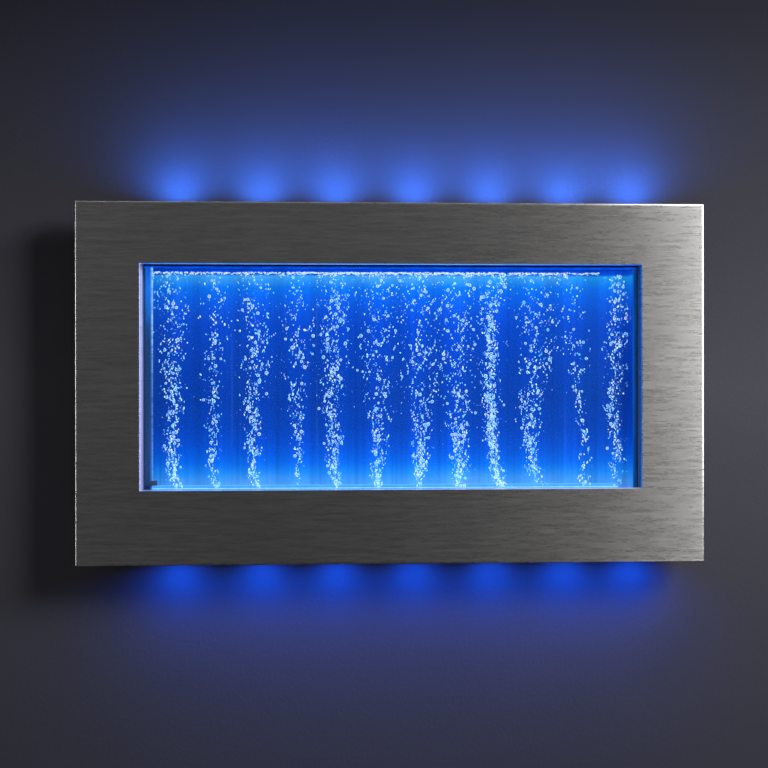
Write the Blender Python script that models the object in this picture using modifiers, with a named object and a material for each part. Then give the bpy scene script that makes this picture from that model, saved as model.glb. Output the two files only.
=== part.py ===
# Wall-hung bubble panel: a lit water tank with rising air bubbles in a brushed steel frame
# +X is to the viewer's right, +Y goes into the wall, +Z is up
# The origin lies on the wall face of the wall cleat, in the middle of its flange

import math

import bmesh
import bpy
from mathutils import Matrix, Vector

# Clearance between pieces that touch, and how far a cutter runs past what it cuts
FIT = 0.0003
OVERRUN = 0.004
MERGE = 0.0001

# Facets of round pieces, and the angles past which an edge is rounded or shaded sharp
ROUND_STEPS = 24
SMALL_STEPS = 12
TINY_STEPS = 8
HEX_SIDES = 6
EDGE_ANGLE = 35.0
SMOOTH_ANGLE = 40.0

# Front frame: one folded sheet with a window
FRAME_WIDTH = 1.016
FRAME_HEIGHT = 0.583
SIDE_BORDER = 0.1015
TOP_BORDER = 0.099
BOTTOM_BORDER = 0.1195
FRAME_SHEET = 0.0012
FRAME_OUTER_RETURN = 0.038
FRAME_INNER_RETURN = 0.022
FOLD_RADIUS = 0.0014

# Stiffeners behind the frame's sides, with the pins that hang it on the tray
STIFFENER_WIDTH = 0.024
STIFFENER_LENGTH = 0.500
STIFFENER_SHEET = 0.0015
PIN_RADIUS = 0.003
PIN_LENGTH = 0.012
PIN_HEIGHT = 0.200
PIN_CLEARANCE = 0.0003
MAGNET_WIDTH = 0.016
MAGNET_LENGTH = 0.300
MAGNET_THICKNESS = 0.003

# Seal between the window's return and the front pane
SEAL_THICKNESS = 0.003
SEAL_WIDTH = 0.0035

# Wall cleat and the clip that hooks over it
CLEAT_WIDTH = 0.700
CLEAT_SHEET = 0.002
CLEAT_FLANGE = 0.024
HOOK_HEIGHT = 0.014
HOOK_POCKET = 0.0042
CLEAT_BELOW_TOP = 0.075
CLEAT_HOLE_COUNT = 6
CLEAT_HOLE_PITCH = 0.124
CLEAT_SLOT_LENGTH = 0.014
CLEAT_HOLE_RADIUS = 0.003
CLIP_WIDTH = 0.660
CLIP_FLANGE = 0.030
CLIP_LIP = 0.012
CLIP_LIP_SETBACK = 0.0012

# Rear tray: the folded sheet box that carries everything
WALL_GAP = 0.020
TRAY_INSET = 0.026
TRAY_SHEET = 0.0012
TRAY_DEPTH = 0.055
TRAY_FLANGE = 0.022
VENT_COUNT = 9
VENT_PITCH = 0.012
VENT_WIDTH = 0.004
VENT_HEIGHT = 0.030

# Rubber spacers that keep the tray's lower edge off the wall
SPACER_RADIUS = 0.013
SPACER_NECK_RADIUS = 0.009
SPACER_PAD = 0.006
SPACER_TAPER = 0.003
SPACER_INSET = 0.070

# Acrylic tank
TANK_SIDE_DROP = 0.0025
TANK_SHIFT = 0.0015
TANK_WALL = 0.010
TANK_FLOOR = 0.010
TANK_LID = 0.012
FRONT_PANE = 0.010
REAR_PANE = 0.008
WATER_DEPTH = 0.026
FLOOR_DROP = 0.001
LID_DROP = 0.004
BACKING_THICKNESS = 0.003

# Air manifold on the tank's floor, one hole for each column of bubbles
COLUMN_COUNT = 12
COLUMN_MARGIN = 0.0465
COLUMN_SHIFT = 0.010
MANIFOLD_HEIGHT = 0.006
MANIFOLD_DEPTH = 0.014
MANIFOLD_BORE = 0.0018
MANIFOLD_PLUG = 0.0040
MANIFOLD_END = 0.0075
AIR_HOLE_RADIUS = 0.001

# Air inlet through the tank's left end
ELBOW_RADIUS = 0.006
ELBOW_SPIGOT = 0.004
ELBOW_RISE = 0.008
ELBOW_STANDOFF = 0.014
ELBOW_DROP = 0.016
ELBOW_CROWN = 0.007
ELBOW_SOCKET_DEPTH = 0.009
ELBOW_NUT_RADIUS = 0.0072
ELBOW_NUT_THICKNESS = 0.004
ELBOW_BLOCK_WIDTH = 0.009
ELBOW_BLOCK_DEPTH = 0.010
ELBOW_BLOCK_RISE = 0.005

# Check valve below the inlet
CHECK_RADIUS = 0.008
CHECK_LENGTH = 0.024
CHECK_COLLAR = 0.004
CHECK_WAIST_SHARE = 0.86
SPIGOT_RADIUS = 0.003
SPIGOT_LENGTH = 0.008

# Light rails below and above the tank, with their strips and diffusers
RAIL_HEIGHT = 0.012
RAIL_LIP = 0.0015
RAIL_LIP_HEIGHT = 0.004
GROOVE_WIDTH = 0.018
GROOVE_DEPTH = 0.008
DRAIN_ROOM = 0.040
FILLER_ROOM = 0.080
STRIP_THICKNESS = 0.0016
DIFFUSER_THICKNESS = 0.002
STRIP_END = 0.010

# Brackets between the light rails and the tray
BRACKET_WIDTH = 0.030
BRACKET_SHEET = 0.002
BRACKET_REACH = 0.042
BRACKET_FLANGE = 0.022
BRACKET_INSET = 0.085

# Halo lights on the tray's top and bottom, which shine on the wall
HALO_COUNT = 7
HALO_MARGIN = 0.1145
HALO_SHIFT = 0.033
HALO_END = 0.030
HALO_BACK = 0.0275
HALO_RAIL_WIDTH = 0.013
HALO_RAIL_HEIGHT = 0.0065
HALO_RAIL_WALL = 0.0015
HALO_STRIP = 0.003
HALO_DOME = 0.0045

# Air pump: case, cover, electromagnet, swinging arm, diaphragm and valve box
PUMP_LENGTH = 0.104
PUMP_DEPTH = 0.044
PUMP_CASE_HEIGHT = 0.030
PUMP_COVER_HEIGHT = 0.0137
PUMP_WALL = 0.002
PUMP_ROUND = 0.003
PUMP_PLACE_SHARE = 0.4668
PUMP_FRONT_GAP = 0.0055
PUMP_PIVOT_INSET = 0.010
PUMP_PIVOT_HEIGHT = 0.029
PUMP_PIN_RADIUS = 0.0015
PUMP_CHEEK_WIDTH = 0.010
PUMP_CHEEK_SHEET = 0.003
PUMP_CHEEK_GAP = 0.016
PUMP_CHEEK_TOP = 0.0045
ARM_THICKNESS = 0.0025
ARM_WIDTH = 0.010
ARM_LENGTH = 0.080
ARM_EYE_RADIUS = 0.004
ARM_EYE_BORE = 0.0018
MAGNET_BLOCK_LENGTH = 0.020
MAGNET_BLOCK_WIDTH = 0.014
MAGNET_BLOCK_HEIGHT = 0.005
MAGNET_BLOCK_REACH = 0.070
CORE_WIDTH = 0.034
CORE_DEPTH = 0.016
CORE_HEIGHT = 0.0172
CORE_BASE = 0.0065
CORE_LIMB = 0.007
COIL_HEIGHT = 0.009
COIL_WALL = 0.0045
DIAPHRAGM_REACH = 0.020
DIAPHRAGM_RADIUS = 0.009
DIAPHRAGM_WAIST = 0.007
DIAPHRAGM_FOLD_SHARES = (0.75, 0.5, 0.25)
VALVE_BOX_LENGTH = 0.024
VALVE_BOX_WIDTH = 0.026
VALVE_BOX_HEIGHT = 0.012
NOZZLE_RADIUS = 0.0025
NOZZLE_RISE = 0.008
NOZZLE_LENGTH = 0.010

# Air valve that sets how fast the bubbles rise
VALVE_WIDTH = 0.016
VALVE_HEIGHT = 0.022
VALVE_BARB = 0.006
VALVE_STEM_RADIUS = 0.0034
VALVE_STEM_DEPTH = 0.006
VALVE_KNOB_RADIUS = 0.009
VALVE_KNOB_HEIGHT = 0.011
VALVE_KNOB_GAP = 0.0008
VALVE_KNOB_ROUND = 0.0015

# Air hoses
HOSE_RADIUS = 0.003
HOSE_BEND = 0.036
HOSE_POINTS = 14

# Light driver, controller and its mode button
DRIVER_PLACE_SHARE = 0.2801
DRIVER_LENGTH = 0.150
DRIVER_HEIGHT = 0.032
DRIVER_FOOT = 0.010
DRIVER_FOOT_SHEET = 0.002
DRIVER_FOOT_SHARE = 0.8
BOX_DEPTH = 0.040
BOX_ROUND = 0.002
CONTROLLER_PLACE_SHARE = 0.1245
CONTROLLER_LENGTH = 0.080
CONTROLLER_HEIGHT = 0.022
BUTTON_RADIUS = 0.0045
BUTTON_HEIGHT = 0.003
BUTTON_STEM_RADIUS = 0.003
BUTTON_STEM_DEPTH = 0.006
BUTTON_TRAVEL = 0.0015
BUTTON_SHIFT = 0.020

# Mains inlet and rocker switch in the tray's underside
INLET_PLACE_SHARE = 0.6950
INLET_WIDTH = 0.027
INLET_DEPTH = 0.0198
INLET_HEIGHT = 0.022
INLET_FLANGE = 0.002
INLET_LIP = 0.0015
INLET_WALL = 0.0025
INLET_SOCKET = 0.016
INLET_BLADE_WIDTH = 0.002
INLET_BLADE_DEPTH = 0.005
INLET_BLADE_LENGTH = 0.009
INLET_BLADE_PITCH = 0.007
SWITCH_PLACE_SHARE = 0.5913
SWITCH_WIDTH = 0.0206
SWITCH_DEPTH = 0.0136
SWITCH_HEIGHT = 0.018
SWITCH_LIP = 0.002
SWITCH_FLANGE = 0.002
SWITCH_WALL = 0.0015
SWITCH_POCKET = 0.010
ROCKER_CLEARANCE = 0.0006
ROCKER_FACE = 0.0032
ROCKER_DIP = 0.0014
ROCKER_SHOULDER = 0.0015
ROCKER_KEEL = 0.0045
ROCKER_TILT = 8.0

# Drain tap below the tank's floor
DRAIN_INSET = 0.020
DRAIN_NECK_RADIUS = 0.005
DRAIN_NUT_RADIUS = 0.009
DRAIN_NUT_HEIGHT = 0.008
DRAIN_BALL_RADIUS = 0.011
DRAIN_BALL_HEIGHT = 0.024
DRAIN_BALL_SHOULDER = 0.0048
DRAIN_BALL_DROP = 0.022
DRAIN_WAIST_RADIUS = 0.007
DRAIN_SPOUT_RADIUS = 0.005
DRAIN_SPOUT_LENGTH = 0.012
DRAIN_BORE = 0.003
DRAIN_STEM_RADIUS = 0.003
DRAIN_STEM_LENGTH = 0.008
DRAIN_STEM_ROOT_SHARE = 0.7
LEVER_LENGTH = 0.034
LEVER_THICKNESS = 0.006
LEVER_HUB_RADIUS = 0.007
LEVER_TIP_RADIUS = 0.0045
LEVER_SOCKET = 0.0035

# Filler neck and cap on the tank's lid
FILLER_INSET = 0.0505
NECK_FLANGE_RADIUS = 0.016
NECK_FLANGE_HEIGHT = 0.003
NECK_RADIUS = 0.012
NECK_BORE = 0.009
NECK_HEIGHT = 0.018
CAP_RADIUS = 0.015
CAP_HEIGHT = 0.015
CAP_TOP = 0.004
CAP_SKIRT_GAP = 0.0003
FILLER_HATCH_RADIUS = 0.020

# Leads inside the tray
MAINS_LEAD_RADIUS = 0.003
MAINS_LEAD_ARCH = 0.015
MAINS_LEAD_STRAIGHT = 0.006
LIGHT_LEAD_RADIUS = 0.0022
LIGHT_LEAD_BEND = 0.0132
LIGHT_LEAD_GAP = 0.0013
LIGHT_LEAD_END_SHARES = (1.0, 0.67, 0.33, 0.0)
LEAD_POINTS = 40

# Depths, from the wall at zero towards the viewer
TRAY_BACK = -WALL_GAP
TRAY_SEAT = TRAY_BACK - TRAY_SHEET
TRAY_FRONT = TRAY_BACK - TRAY_DEPTH
BACKING_BACK = TRAY_SEAT - FIT
BACKING_FRONT = BACKING_BACK - BACKING_THICKNESS
REAR_PANE_BACK = BACKING_FRONT - FIT
REAR_PANE_FRONT = REAR_PANE_BACK - REAR_PANE
WATER_BACK = REAR_PANE_FRONT - FIT
WATER_FRONT = WATER_BACK - WATER_DEPTH
WATER_MIDDLE = (WATER_BACK + WATER_FRONT) / 2
FRONT_PANE_BACK = WATER_FRONT - FIT
FRONT_PANE_FRONT = FRONT_PANE_BACK - FRONT_PANE
SEAL_BACK = FRONT_PANE_FRONT - FIT
SEAL_FRONT = SEAL_BACK - SEAL_THICKNESS
RETURN_EDGE = SEAL_FRONT - FIT
FACE_FRONT = RETURN_EDGE - FRAME_INNER_RETURN
FACE_BACK = FACE_FRONT + FRAME_SHEET

# Heights and half widths
HOOK_TOP = CLEAT_FLANGE / 2 + HOOK_HEIGHT
FRAME_TOP = HOOK_TOP + CLEAT_BELOW_TOP
FRAME_BOTTOM = FRAME_TOP - FRAME_HEIGHT
FRAME_MIDDLE = (FRAME_TOP + FRAME_BOTTOM) / 2
WINDOW_TOP = FRAME_TOP - TOP_BORDER
WINDOW_BOTTOM = FRAME_BOTTOM + BOTTOM_BORDER
WINDOW_HALF = FRAME_WIDTH / 2 - SIDE_BORDER
TRAY_HALF = FRAME_WIDTH / 2 - TRAY_INSET
TRAY_TOP = FRAME_TOP - TRAY_INSET
TRAY_BOTTOM = FRAME_BOTTOM + TRAY_INSET
TRAY_INSIDE_BOTTOM = TRAY_BOTTOM + TRAY_SHEET
TANK_WIDTH = (WINDOW_HALF - TANK_SIDE_DROP) * 2
TANK_LEFT = TANK_SHIFT - TANK_WIDTH / 2
TANK_RIGHT = TANK_SHIFT + TANK_WIDTH / 2
TANK_INSIDE_LEFT = TANK_LEFT + TANK_WALL + FIT
MANIFOLD_START = TANK_INSIDE_LEFT + ELBOW_SPIGOT / 2 + FIT
COLUMN_PITCH = (TANK_WIDTH - COLUMN_MARGIN * 2) / (COLUMN_COUNT - 1)
HALO_PITCH = (TRAY_HALF - HALO_MARGIN) * 2 / (HALO_COUNT - 1)
FLOOR_TOP = WINDOW_BOTTOM - FLOOR_DROP
FLOOR_BOTTOM = FLOOR_TOP - TANK_FLOOR
LID_BOTTOM = WINDOW_TOP - LID_DROP
LID_TOP = LID_BOTTOM + TANK_LID
INLET_HEIGHT_Z = WINDOW_BOTTOM + ELBOW_RISE
ELBOW_X = TANK_LEFT - ELBOW_STANDOFF
DRAIN_X = TANK_RIGHT - DRAIN_INSET
FILLER_X = TANK_RIGHT - FILLER_INSET
SIDE_X = TRAY_HALF - TRAY_FLANGE / 2
PUMP_X = -TRAY_HALF * PUMP_PLACE_SHARE
PUMP_Y = TRAY_FRONT + PUMP_FRONT_GAP + PUMP_DEPTH / 2
PUMP_FLOOR = TRAY_INSIDE_BOTTOM + FIT
PUMP_SEAT = PUMP_FLOOR + PUMP_WALL + FIT
PIVOT_X = PUMP_X - PUMP_LENGTH / 2 + PUMP_PIVOT_INSET
PIVOT_Z = PUMP_FLOOR + PUMP_PIVOT_HEIGHT
NOZZLE_Z = PUMP_SEAT + NOZZLE_RISE
NOZZLE_TIP = PUMP_X - PUMP_LENGTH / 2 - NOZZLE_LENGTH
VALVE_X = ELBOW_X + HOSE_BEND + VALVE_WIDTH / 2 + VALVE_BARB
CONTROLLER_X = -TRAY_HALF * CONTROLLER_PLACE_SHARE
BUTTON_X = CONTROLLER_X + BUTTON_SHIFT
DRIVER_X = TRAY_HALF * DRIVER_PLACE_SHARE
SWITCH_X = TRAY_HALF * SWITCH_PLACE_SHARE
INLET_X = TRAY_HALF * INLET_PLACE_SHARE

parts = bpy.data.collections.new("bubble_wall_panel")
guides = bpy.data.collections.new("cutters")


def clear_scene():
    for old in list(bpy.data.objects):
        bpy.data.objects.remove(old, do_unlink=True)
    bpy.context.scene.collection.children.link(parts)
    bpy.context.scene.collection.children.link(guides)


def finish(name, colour, roughness, metallic, alpha=1.0, glow=0.0):
    """A plain material with the piece's colour, roughness and metal value."""
    material = bpy.data.materials.new(name)
    material.use_nodes = True
    shader = material.node_tree.nodes["Principled BSDF"]
    shader.inputs["Base Color"].default_value = (*colour, 1.0)
    shader.inputs["Roughness"].default_value = roughness
    shader.inputs["Metallic"].default_value = metallic
    shader.inputs["Alpha"].default_value = alpha
    if glow:
        shader.inputs["Emission Color"].default_value = (*colour, 1.0)
        shader.inputs["Emission Strength"].default_value = glow
    return material


def carrier(name, place, parent=None):
    """An empty that a group of pieces hangs from."""
    empty = bpy.data.objects.new(name, None)
    parts.objects.link(empty)
    empty.location = place
    if parent is not None:
        hang(empty, parent)
    return empty


def hang(child, parent):
    """Parents a piece and leaves it where it is."""
    bpy.context.view_layer.update()
    child.parent = parent
    child.matrix_parent_inverse = parent.matrix_world.inverted()


def place_mesh(name, bm, origin, material, smooth=False):
    """Turns a bmesh in world places into an object whose origin is at the given point."""
    bmesh.ops.translate(bm, verts=bm.verts, vec=-Vector(origin))
    mesh = bpy.data.meshes.new(name)
    bm.to_mesh(mesh)
    bm.free()
    if smooth:
        mesh.shade_smooth()
        mesh.set_sharp_from_angle(angle=math.radians(SMOOTH_ANGLE))
    mesh.materials.append(material)
    piece = bpy.data.objects.new(name, mesh)
    piece.location = origin
    parts.objects.link(piece)
    return piece


def block(name, low, high, material, origin=None):
    """A box between two corners."""
    low, high = Vector(low), Vector(high)
    bm = bmesh.new()
    bmesh.ops.create_cube(bm, size=1.0)
    bmesh.ops.scale(bm, vec=high - low, verts=bm.verts)
    bmesh.ops.translate(bm, vec=(low + high) / 2, verts=bm.verts)
    return place_mesh(name, bm, origin or (low + high) / 2, material)


def rods(name, runs, radius, material, sides=SMALL_STEPS, origin=None):
    """Round bars between pairs of points, in one mesh."""
    bm = bmesh.new()
    for start, end in runs:
        start, end = Vector(start), Vector(end)
        turn = (end - start).to_track_quat("Z", "Y").to_matrix().to_4x4()
        seat = Matrix.Translation((start + end) / 2) @ turn
        bmesh.ops.create_cone(bm, cap_ends=True, segments=sides, radius1=radius, radius2=radius,
                              depth=(end - start).length, matrix=seat)
    return place_mesh(name, bm, origin or runs[0][0], material, smooth=True)


def turned(name, profile, origin, material, steps=ROUND_STEPS, closed=False, turn=(0.0, 0.0, 0.0)):
    """A profile of radius and height, spun round the piece's own Z axis; it runs down its outer side."""
    mesh = bpy.data.meshes.new(name)
    edges = [(i, i + 1) for i in range(len(profile) - 1)]
    if closed:
        edges.append((len(profile) - 1, 0))
    mesh.from_pydata([(radius, 0.0, height) for radius, height in profile], edges, [])
    mesh.materials.append(material)
    piece = bpy.data.objects.new(name, mesh)
    piece.location = origin
    piece.rotation_euler = turn
    parts.objects.link(piece)
    screw = piece.modifiers.new("turned", "SCREW")
    screw.axis = "Z"
    screw.steps = steps
    screw.render_steps = steps
    screw.use_merge_vertices = True
    screw.merge_threshold = MERGE
    screw.use_smooth_shade = True
    return piece


def as_mesh(curve_object):
    """Replaces a curve object with the closed mesh that it draws."""
    bpy.context.view_layer.update()
    name = curve_object.name
    parent = curve_object.parent
    place = curve_object.matrix_world.copy()
    graph = bpy.context.evaluated_depsgraph_get()
    mesh = bpy.data.meshes.new_from_object(curve_object.evaluated_get(graph))
    bm = bmesh.new()
    bm.from_mesh(mesh)
    bmesh.ops.remove_doubles(bm, verts=bm.verts, dist=MERGE / 10)
    bm.to_mesh(mesh)
    bm.free()
    bpy.data.objects.remove(curve_object, do_unlink=True)
    piece = bpy.data.objects.new(name, mesh)
    piece.name = name
    parts.objects.link(piece)
    piece.matrix_world = place
    if parent is not None:
        hang(piece, parent)
    return piece


def outline(name, loops, axis, start, end, material):
    """A flat outline, with any holes, thickened along one axis between two places."""
    curve = bpy.data.curves.new(name, "CURVE")
    curve.dimensions = "2D"
    curve.fill_mode = "BOTH"
    curve.extrude = (end - start) / 2
    for loop in loops:
        spline = curve.splines.new("POLY")
        spline.points.add(len(loop) - 1)
        for point, (across, up) in zip(spline.points, loop):
            point.co = (across, up, 0.0, 1.0)
        spline.use_cyclic_u = True
    curve.materials.append(material)
    piece = bpy.data.objects.new(name, curve)
    square = math.radians(90.0)
    turns = {"X": (square, 0.0, square), "Y": (square, 0.0, 0.0), "Z": (0.0, 0.0, 0.0)}
    piece.location["XYZ".index(axis)] = (start + end) / 2
    piece.rotation_euler = turns[axis]
    parts.objects.link(piece)
    return as_mesh(piece)


def tube(name, points, radius, material, resolution=2):
    """A round tube or lead along a list of points, with its ends closed."""
    curve = bpy.data.curves.new(name, "CURVE")
    curve.dimensions = "3D"
    curve.bevel_depth = radius
    curve.bevel_resolution = resolution
    curve.use_fill_caps = True
    spline = curve.splines.new("POLY")
    spline.points.add(len(points) - 1)
    origin = Vector(points[0])
    for point, place in zip(spline.points, points):
        point.co = (*(Vector(place) - origin), 1.0)
    curve.materials.append(material)
    piece = bpy.data.objects.new(name, curve)
    piece.location = origin
    parts.objects.link(piece)
    return piece


def as_guide(piece):
    """Moves a cutter or a joined shape out of the parts."""
    parts.objects.unlink(piece)
    guides.objects.link(piece)
    piece.hide_render = True
    piece.display_type = "WIRE"
    return piece


def combine(piece, other, operation):
    """Adds or takes away another shape, which becomes a guide."""
    step = piece.modifiers.new(operation.lower(), "BOOLEAN")
    step.operation = operation
    step.solver = "EXACT"
    step.object = as_guide(other)


def cut(piece, *cutters):
    for cutter in cutters:
        combine(piece, cutter, "DIFFERENCE")


def join(piece, *others):
    for other in others:
        combine(piece, other, "UNION")


def round_edges(piece, width, segments=2):
    """Rounds the piece's sharp edges."""
    bevel = piece.modifiers.new("round_edges", "BEVEL")
    bevel.width = width
    bevel.segments = segments
    bevel.limit_method = "ANGLE"
    bevel.angle_limit = math.radians(EDGE_ANGLE)


def thicken(piece, thickness):
    """Gives an open surface its wall, on the inner side."""
    solid = piece.modifiers.new("wall", "SOLIDIFY")
    solid.thickness = thickness
    solid.offset = -1.0
    solid.use_even_offset = True


def rectangle(left, right, low, high):
    return [(left, low), (right, low), (right, high), (left, high)]


def arc(centre, radius, start, end, count):
    """Points on an arc, in degrees, in the plane of an outline."""
    turns = [math.radians(start + (end - start) * i / (count - 1)) for i in range(count)]
    return [(centre[0] + radius * math.cos(t), centre[1] + radius * math.sin(t)) for t in turns]


def open_box(name, low, high, open_side, material, wall, flange=0.0, rounding=0.0):
    """A folded box without one of its sides; a flange may turn in round the open side."""
    low, high = Vector(low), Vector(high)
    bm = bmesh.new()
    bmesh.ops.create_cube(bm, size=1.0)
    bmesh.ops.scale(bm, vec=high - low, verts=bm.verts)
    bmesh.ops.translate(bm, vec=(low + high) / 2, verts=bm.verts)
    missing = [face for face in bm.faces if face.normal.dot(Vector(open_side)) > 0.5]
    bmesh.ops.delete(bm, geom=missing, context="FACES_ONLY")
    if flange:
        rim = [edge for edge in bm.edges if edge.is_boundary]
        grown = bmesh.ops.extrude_edge_only(bm, edges=rim)["geom"]
        middle = (low + high) / 2
        for vert in (item for item in grown if isinstance(item, bmesh.types.BMVert)):
            vert.co.x -= math.copysign(flange, vert.co.x - middle.x)
            vert.co.z -= math.copysign(flange, vert.co.z - middle.z)
    bmesh.ops.recalc_face_normals(bm, faces=bm.faces)
    piece = place_mesh(name, bm, (low + high) / 2, material)
    if rounding:
        round_edges(piece, rounding)
    thicken(piece, wall)
    return piece


def make_finishes():
    return {
        "steel": finish("brushed_steel", (0.46, 0.45, 0.44), 0.32, 1.0),
        "plate": finish("zinc_plated_steel", (0.58, 0.59, 0.60), 0.40, 1.0),
        "tray": finish("black_painted_steel", (0.035, 0.036, 0.040), 0.50, 0.0),
        "alloy": finish("extruded_aluminium", (0.66, 0.67, 0.69), 0.35, 1.0),
        "clear": finish("clear_acrylic", (0.70, 0.86, 0.98), 0.04, 0.0, alpha=0.30),
        "edge": finish("blue_lit_acrylic", (0.10, 0.30, 0.72), 0.20, 0.0, alpha=0.60),
        "lid": finish("black_acrylic", (0.012, 0.013, 0.018), 0.20, 0.0),
        "backing": finish("blue_backing", (0.010, 0.080, 0.520), 0.60, 0.0, glow=0.4),
        "light": finish("opal_light", (0.30, 0.72, 1.00), 0.40, 0.0, glow=2.0),
        "board": finish("circuit_board", (0.85, 0.87, 0.86), 0.50, 0.0),
        "rubber": finish("black_rubber", (0.020, 0.020, 0.022), 0.80, 0.0),
        "plastic": finish("black_plastic", (0.022, 0.023, 0.026), 0.42, 0.0),
        "grey": finish("grey_plastic", (0.30, 0.31, 0.33), 0.45, 0.0),
        "brass": finish("brass", (0.78, 0.58, 0.26), 0.28, 1.0),
        "lever": finish("blue_lever", (0.020, 0.110, 0.420), 0.40, 0.0),
        "copper": finish("copper_winding", (0.72, 0.32, 0.16), 0.35, 1.0),
        "iron": finish("core_iron", (0.24, 0.25, 0.27), 0.45, 1.0),
        "hose": finish("silicone_hose", (0.76, 0.80, 0.84), 0.35, 0.0, alpha=0.60),
    }


def build_wall_cleat(looks):
    """The rail that is screwed to the wall, with an upright hook on its upper edge."""
    half = CLEAT_FLANGE / 2
    front = -CLEAT_SHEET - HOOK_POCKET
    loop = [(0.0, -half), (0.0, half), (front + CLEAT_SHEET, half), (front + CLEAT_SHEET, HOOK_TOP),
            (front, HOOK_TOP), (front, half - CLEAT_SHEET), (-CLEAT_SHEET, half - CLEAT_SHEET),
            (-CLEAT_SHEET, -half)]
    cleat = outline("wall_cleat", [loop], "X", -CLEAT_WIDTH / 2, CLEAT_WIDTH / 2, looks["plate"])
    slots = []
    for i in range(CLEAT_HOLE_COUNT):
        x = (i - (CLEAT_HOLE_COUNT - 1) / 2) * CLEAT_HOLE_PITCH
        half_run = CLEAT_SLOT_LENGTH / 2 - CLEAT_HOLE_RADIUS
        slots.append(arc((x + half_run, 0.0), CLEAT_HOLE_RADIUS, -90.0, 90.0, TINY_STEPS)
                     + arc((x - half_run, 0.0), CLEAT_HOLE_RADIUS, 90.0, 270.0, TINY_STEPS))
    cutter = outline("cleat_slots", slots, "Y", -CLEAT_SHEET - OVERRUN, OVERRUN, looks["plate"])
    cut(cleat, cutter)
    return [cleat]


def build_hanging_clip(looks):
    """The clip on the tray's back, whose lip drops behind the cleat's hook."""
    seat = TRAY_BACK + FIT
    web = HOOK_TOP + FIT
    lip = -CLIP_LIP_SETBACK
    loop = [(seat, web + CLIP_FLANGE), (seat, web), (lip - CLEAT_SHEET, web),
            (lip - CLEAT_SHEET, web - CLIP_LIP), (lip, web - CLIP_LIP), (lip, web + CLEAT_SHEET),
            (seat + CLEAT_SHEET, web + CLEAT_SHEET), (seat + CLEAT_SHEET, web + CLIP_FLANGE)]
    return [outline("hanging_clip", [loop], "X", -CLIP_WIDTH / 2, CLIP_WIDTH / 2, looks["plate"])]


def build_tray(looks):
    """The folded box behind the frame, with its cut-outs, vents and the pin holes in its flange."""
    tray = open_box("rear_tray", (-TRAY_HALF, TRAY_FRONT, TRAY_BOTTOM), (TRAY_HALF, TRAY_BACK, TRAY_TOP),
                    (0.0, -1.0, 0.0), looks["tray"], TRAY_SHEET, flange=TRAY_FLANGE)
    pins = []
    for side in (-1, 1):
        for level in (-1, 1):
            z = FRAME_MIDDLE + level * PIN_HEIGHT
            pins.append(((side * SIDE_X, TRAY_FRONT - OVERRUN, z), (side * SIDE_X, TRAY_FRONT + OVERRUN, z)))
    cut(tray, rods("pin_holes", pins, PIN_RADIUS + PIN_CLEARANCE, looks["tray"]))
    low, high = TRAY_BOTTOM - OVERRUN, TRAY_BOTTOM + OVERRUN
    y = WATER_MIDDLE
    for name, x, radius in (("knob_hole", VALVE_X, VALVE_STEM_RADIUS),
                            ("button_hole", BUTTON_X, BUTTON_STEM_RADIUS),
                            ("drain_hole", DRAIN_X, DRAIN_SPOUT_RADIUS)):
        cut(tray, rods(name, [((x, y, low), (x, y, high))], radius + FIT, looks["tray"]))
    for name, place, width, depth in (("inlet_hole", INLET_X, INLET_WIDTH, INLET_DEPTH),
                                      ("switch_hole", SWITCH_X, SWITCH_WIDTH, SWITCH_DEPTH)):
        half_x = width / 2 + FIT
        half_y = depth / 2 + FIT
        cut(tray, block(name, (place - half_x, y - half_y, low), (place + half_x, y + half_y, high),
                        looks["tray"]))
    hatch = ((FILLER_X, y, TRAY_TOP - OVERRUN), (FILLER_X, y, TRAY_TOP + OVERRUN))
    cut(tray, rods("filler_hatch", [hatch], FILLER_HATCH_RADIUS, looks["tray"], sides=ROUND_STEPS))
    vents = []
    for i in range(VENT_COUNT):
        x = DRIVER_X + (i - (VENT_COUNT - 1) / 2) * VENT_PITCH
        foot = TRAY_INSIDE_BOTTOM + VENT_WIDTH
        vents.append(rectangle(x - VENT_WIDTH / 2, x + VENT_WIDTH / 2, foot, foot + VENT_HEIGHT))
    cut(tray, outline("tray_vents", vents, "Y", TRAY_SEAT - OVERRUN, TRAY_BACK + OVERRUN, looks["tray"]))
    return [tray]


def build_spacers(looks):
    """Rubber bumpers that set the tray's lower edge parallel to the wall."""
    made = []
    reach = WALL_GAP - FIT
    profile = [(0.0, 0.0), (SPACER_RADIUS, 0.0), (SPACER_RADIUS, -SPACER_PAD),
               (SPACER_NECK_RADIUS, -SPACER_PAD - SPACER_TAPER), (SPACER_NECK_RADIUS, -reach), (0.0, -reach)]
    for name, side in (("spacer_left", -1), ("spacer_right", 1)):
        place = (side * (TRAY_HALF - SPACER_INSET), 0.0, TRAY_BOTTOM + SPACER_INSET)
        made.append(turned(name, profile, place, looks["rubber"], turn=(math.radians(-90.0), 0.0, 0.0)))
    return made


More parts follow.
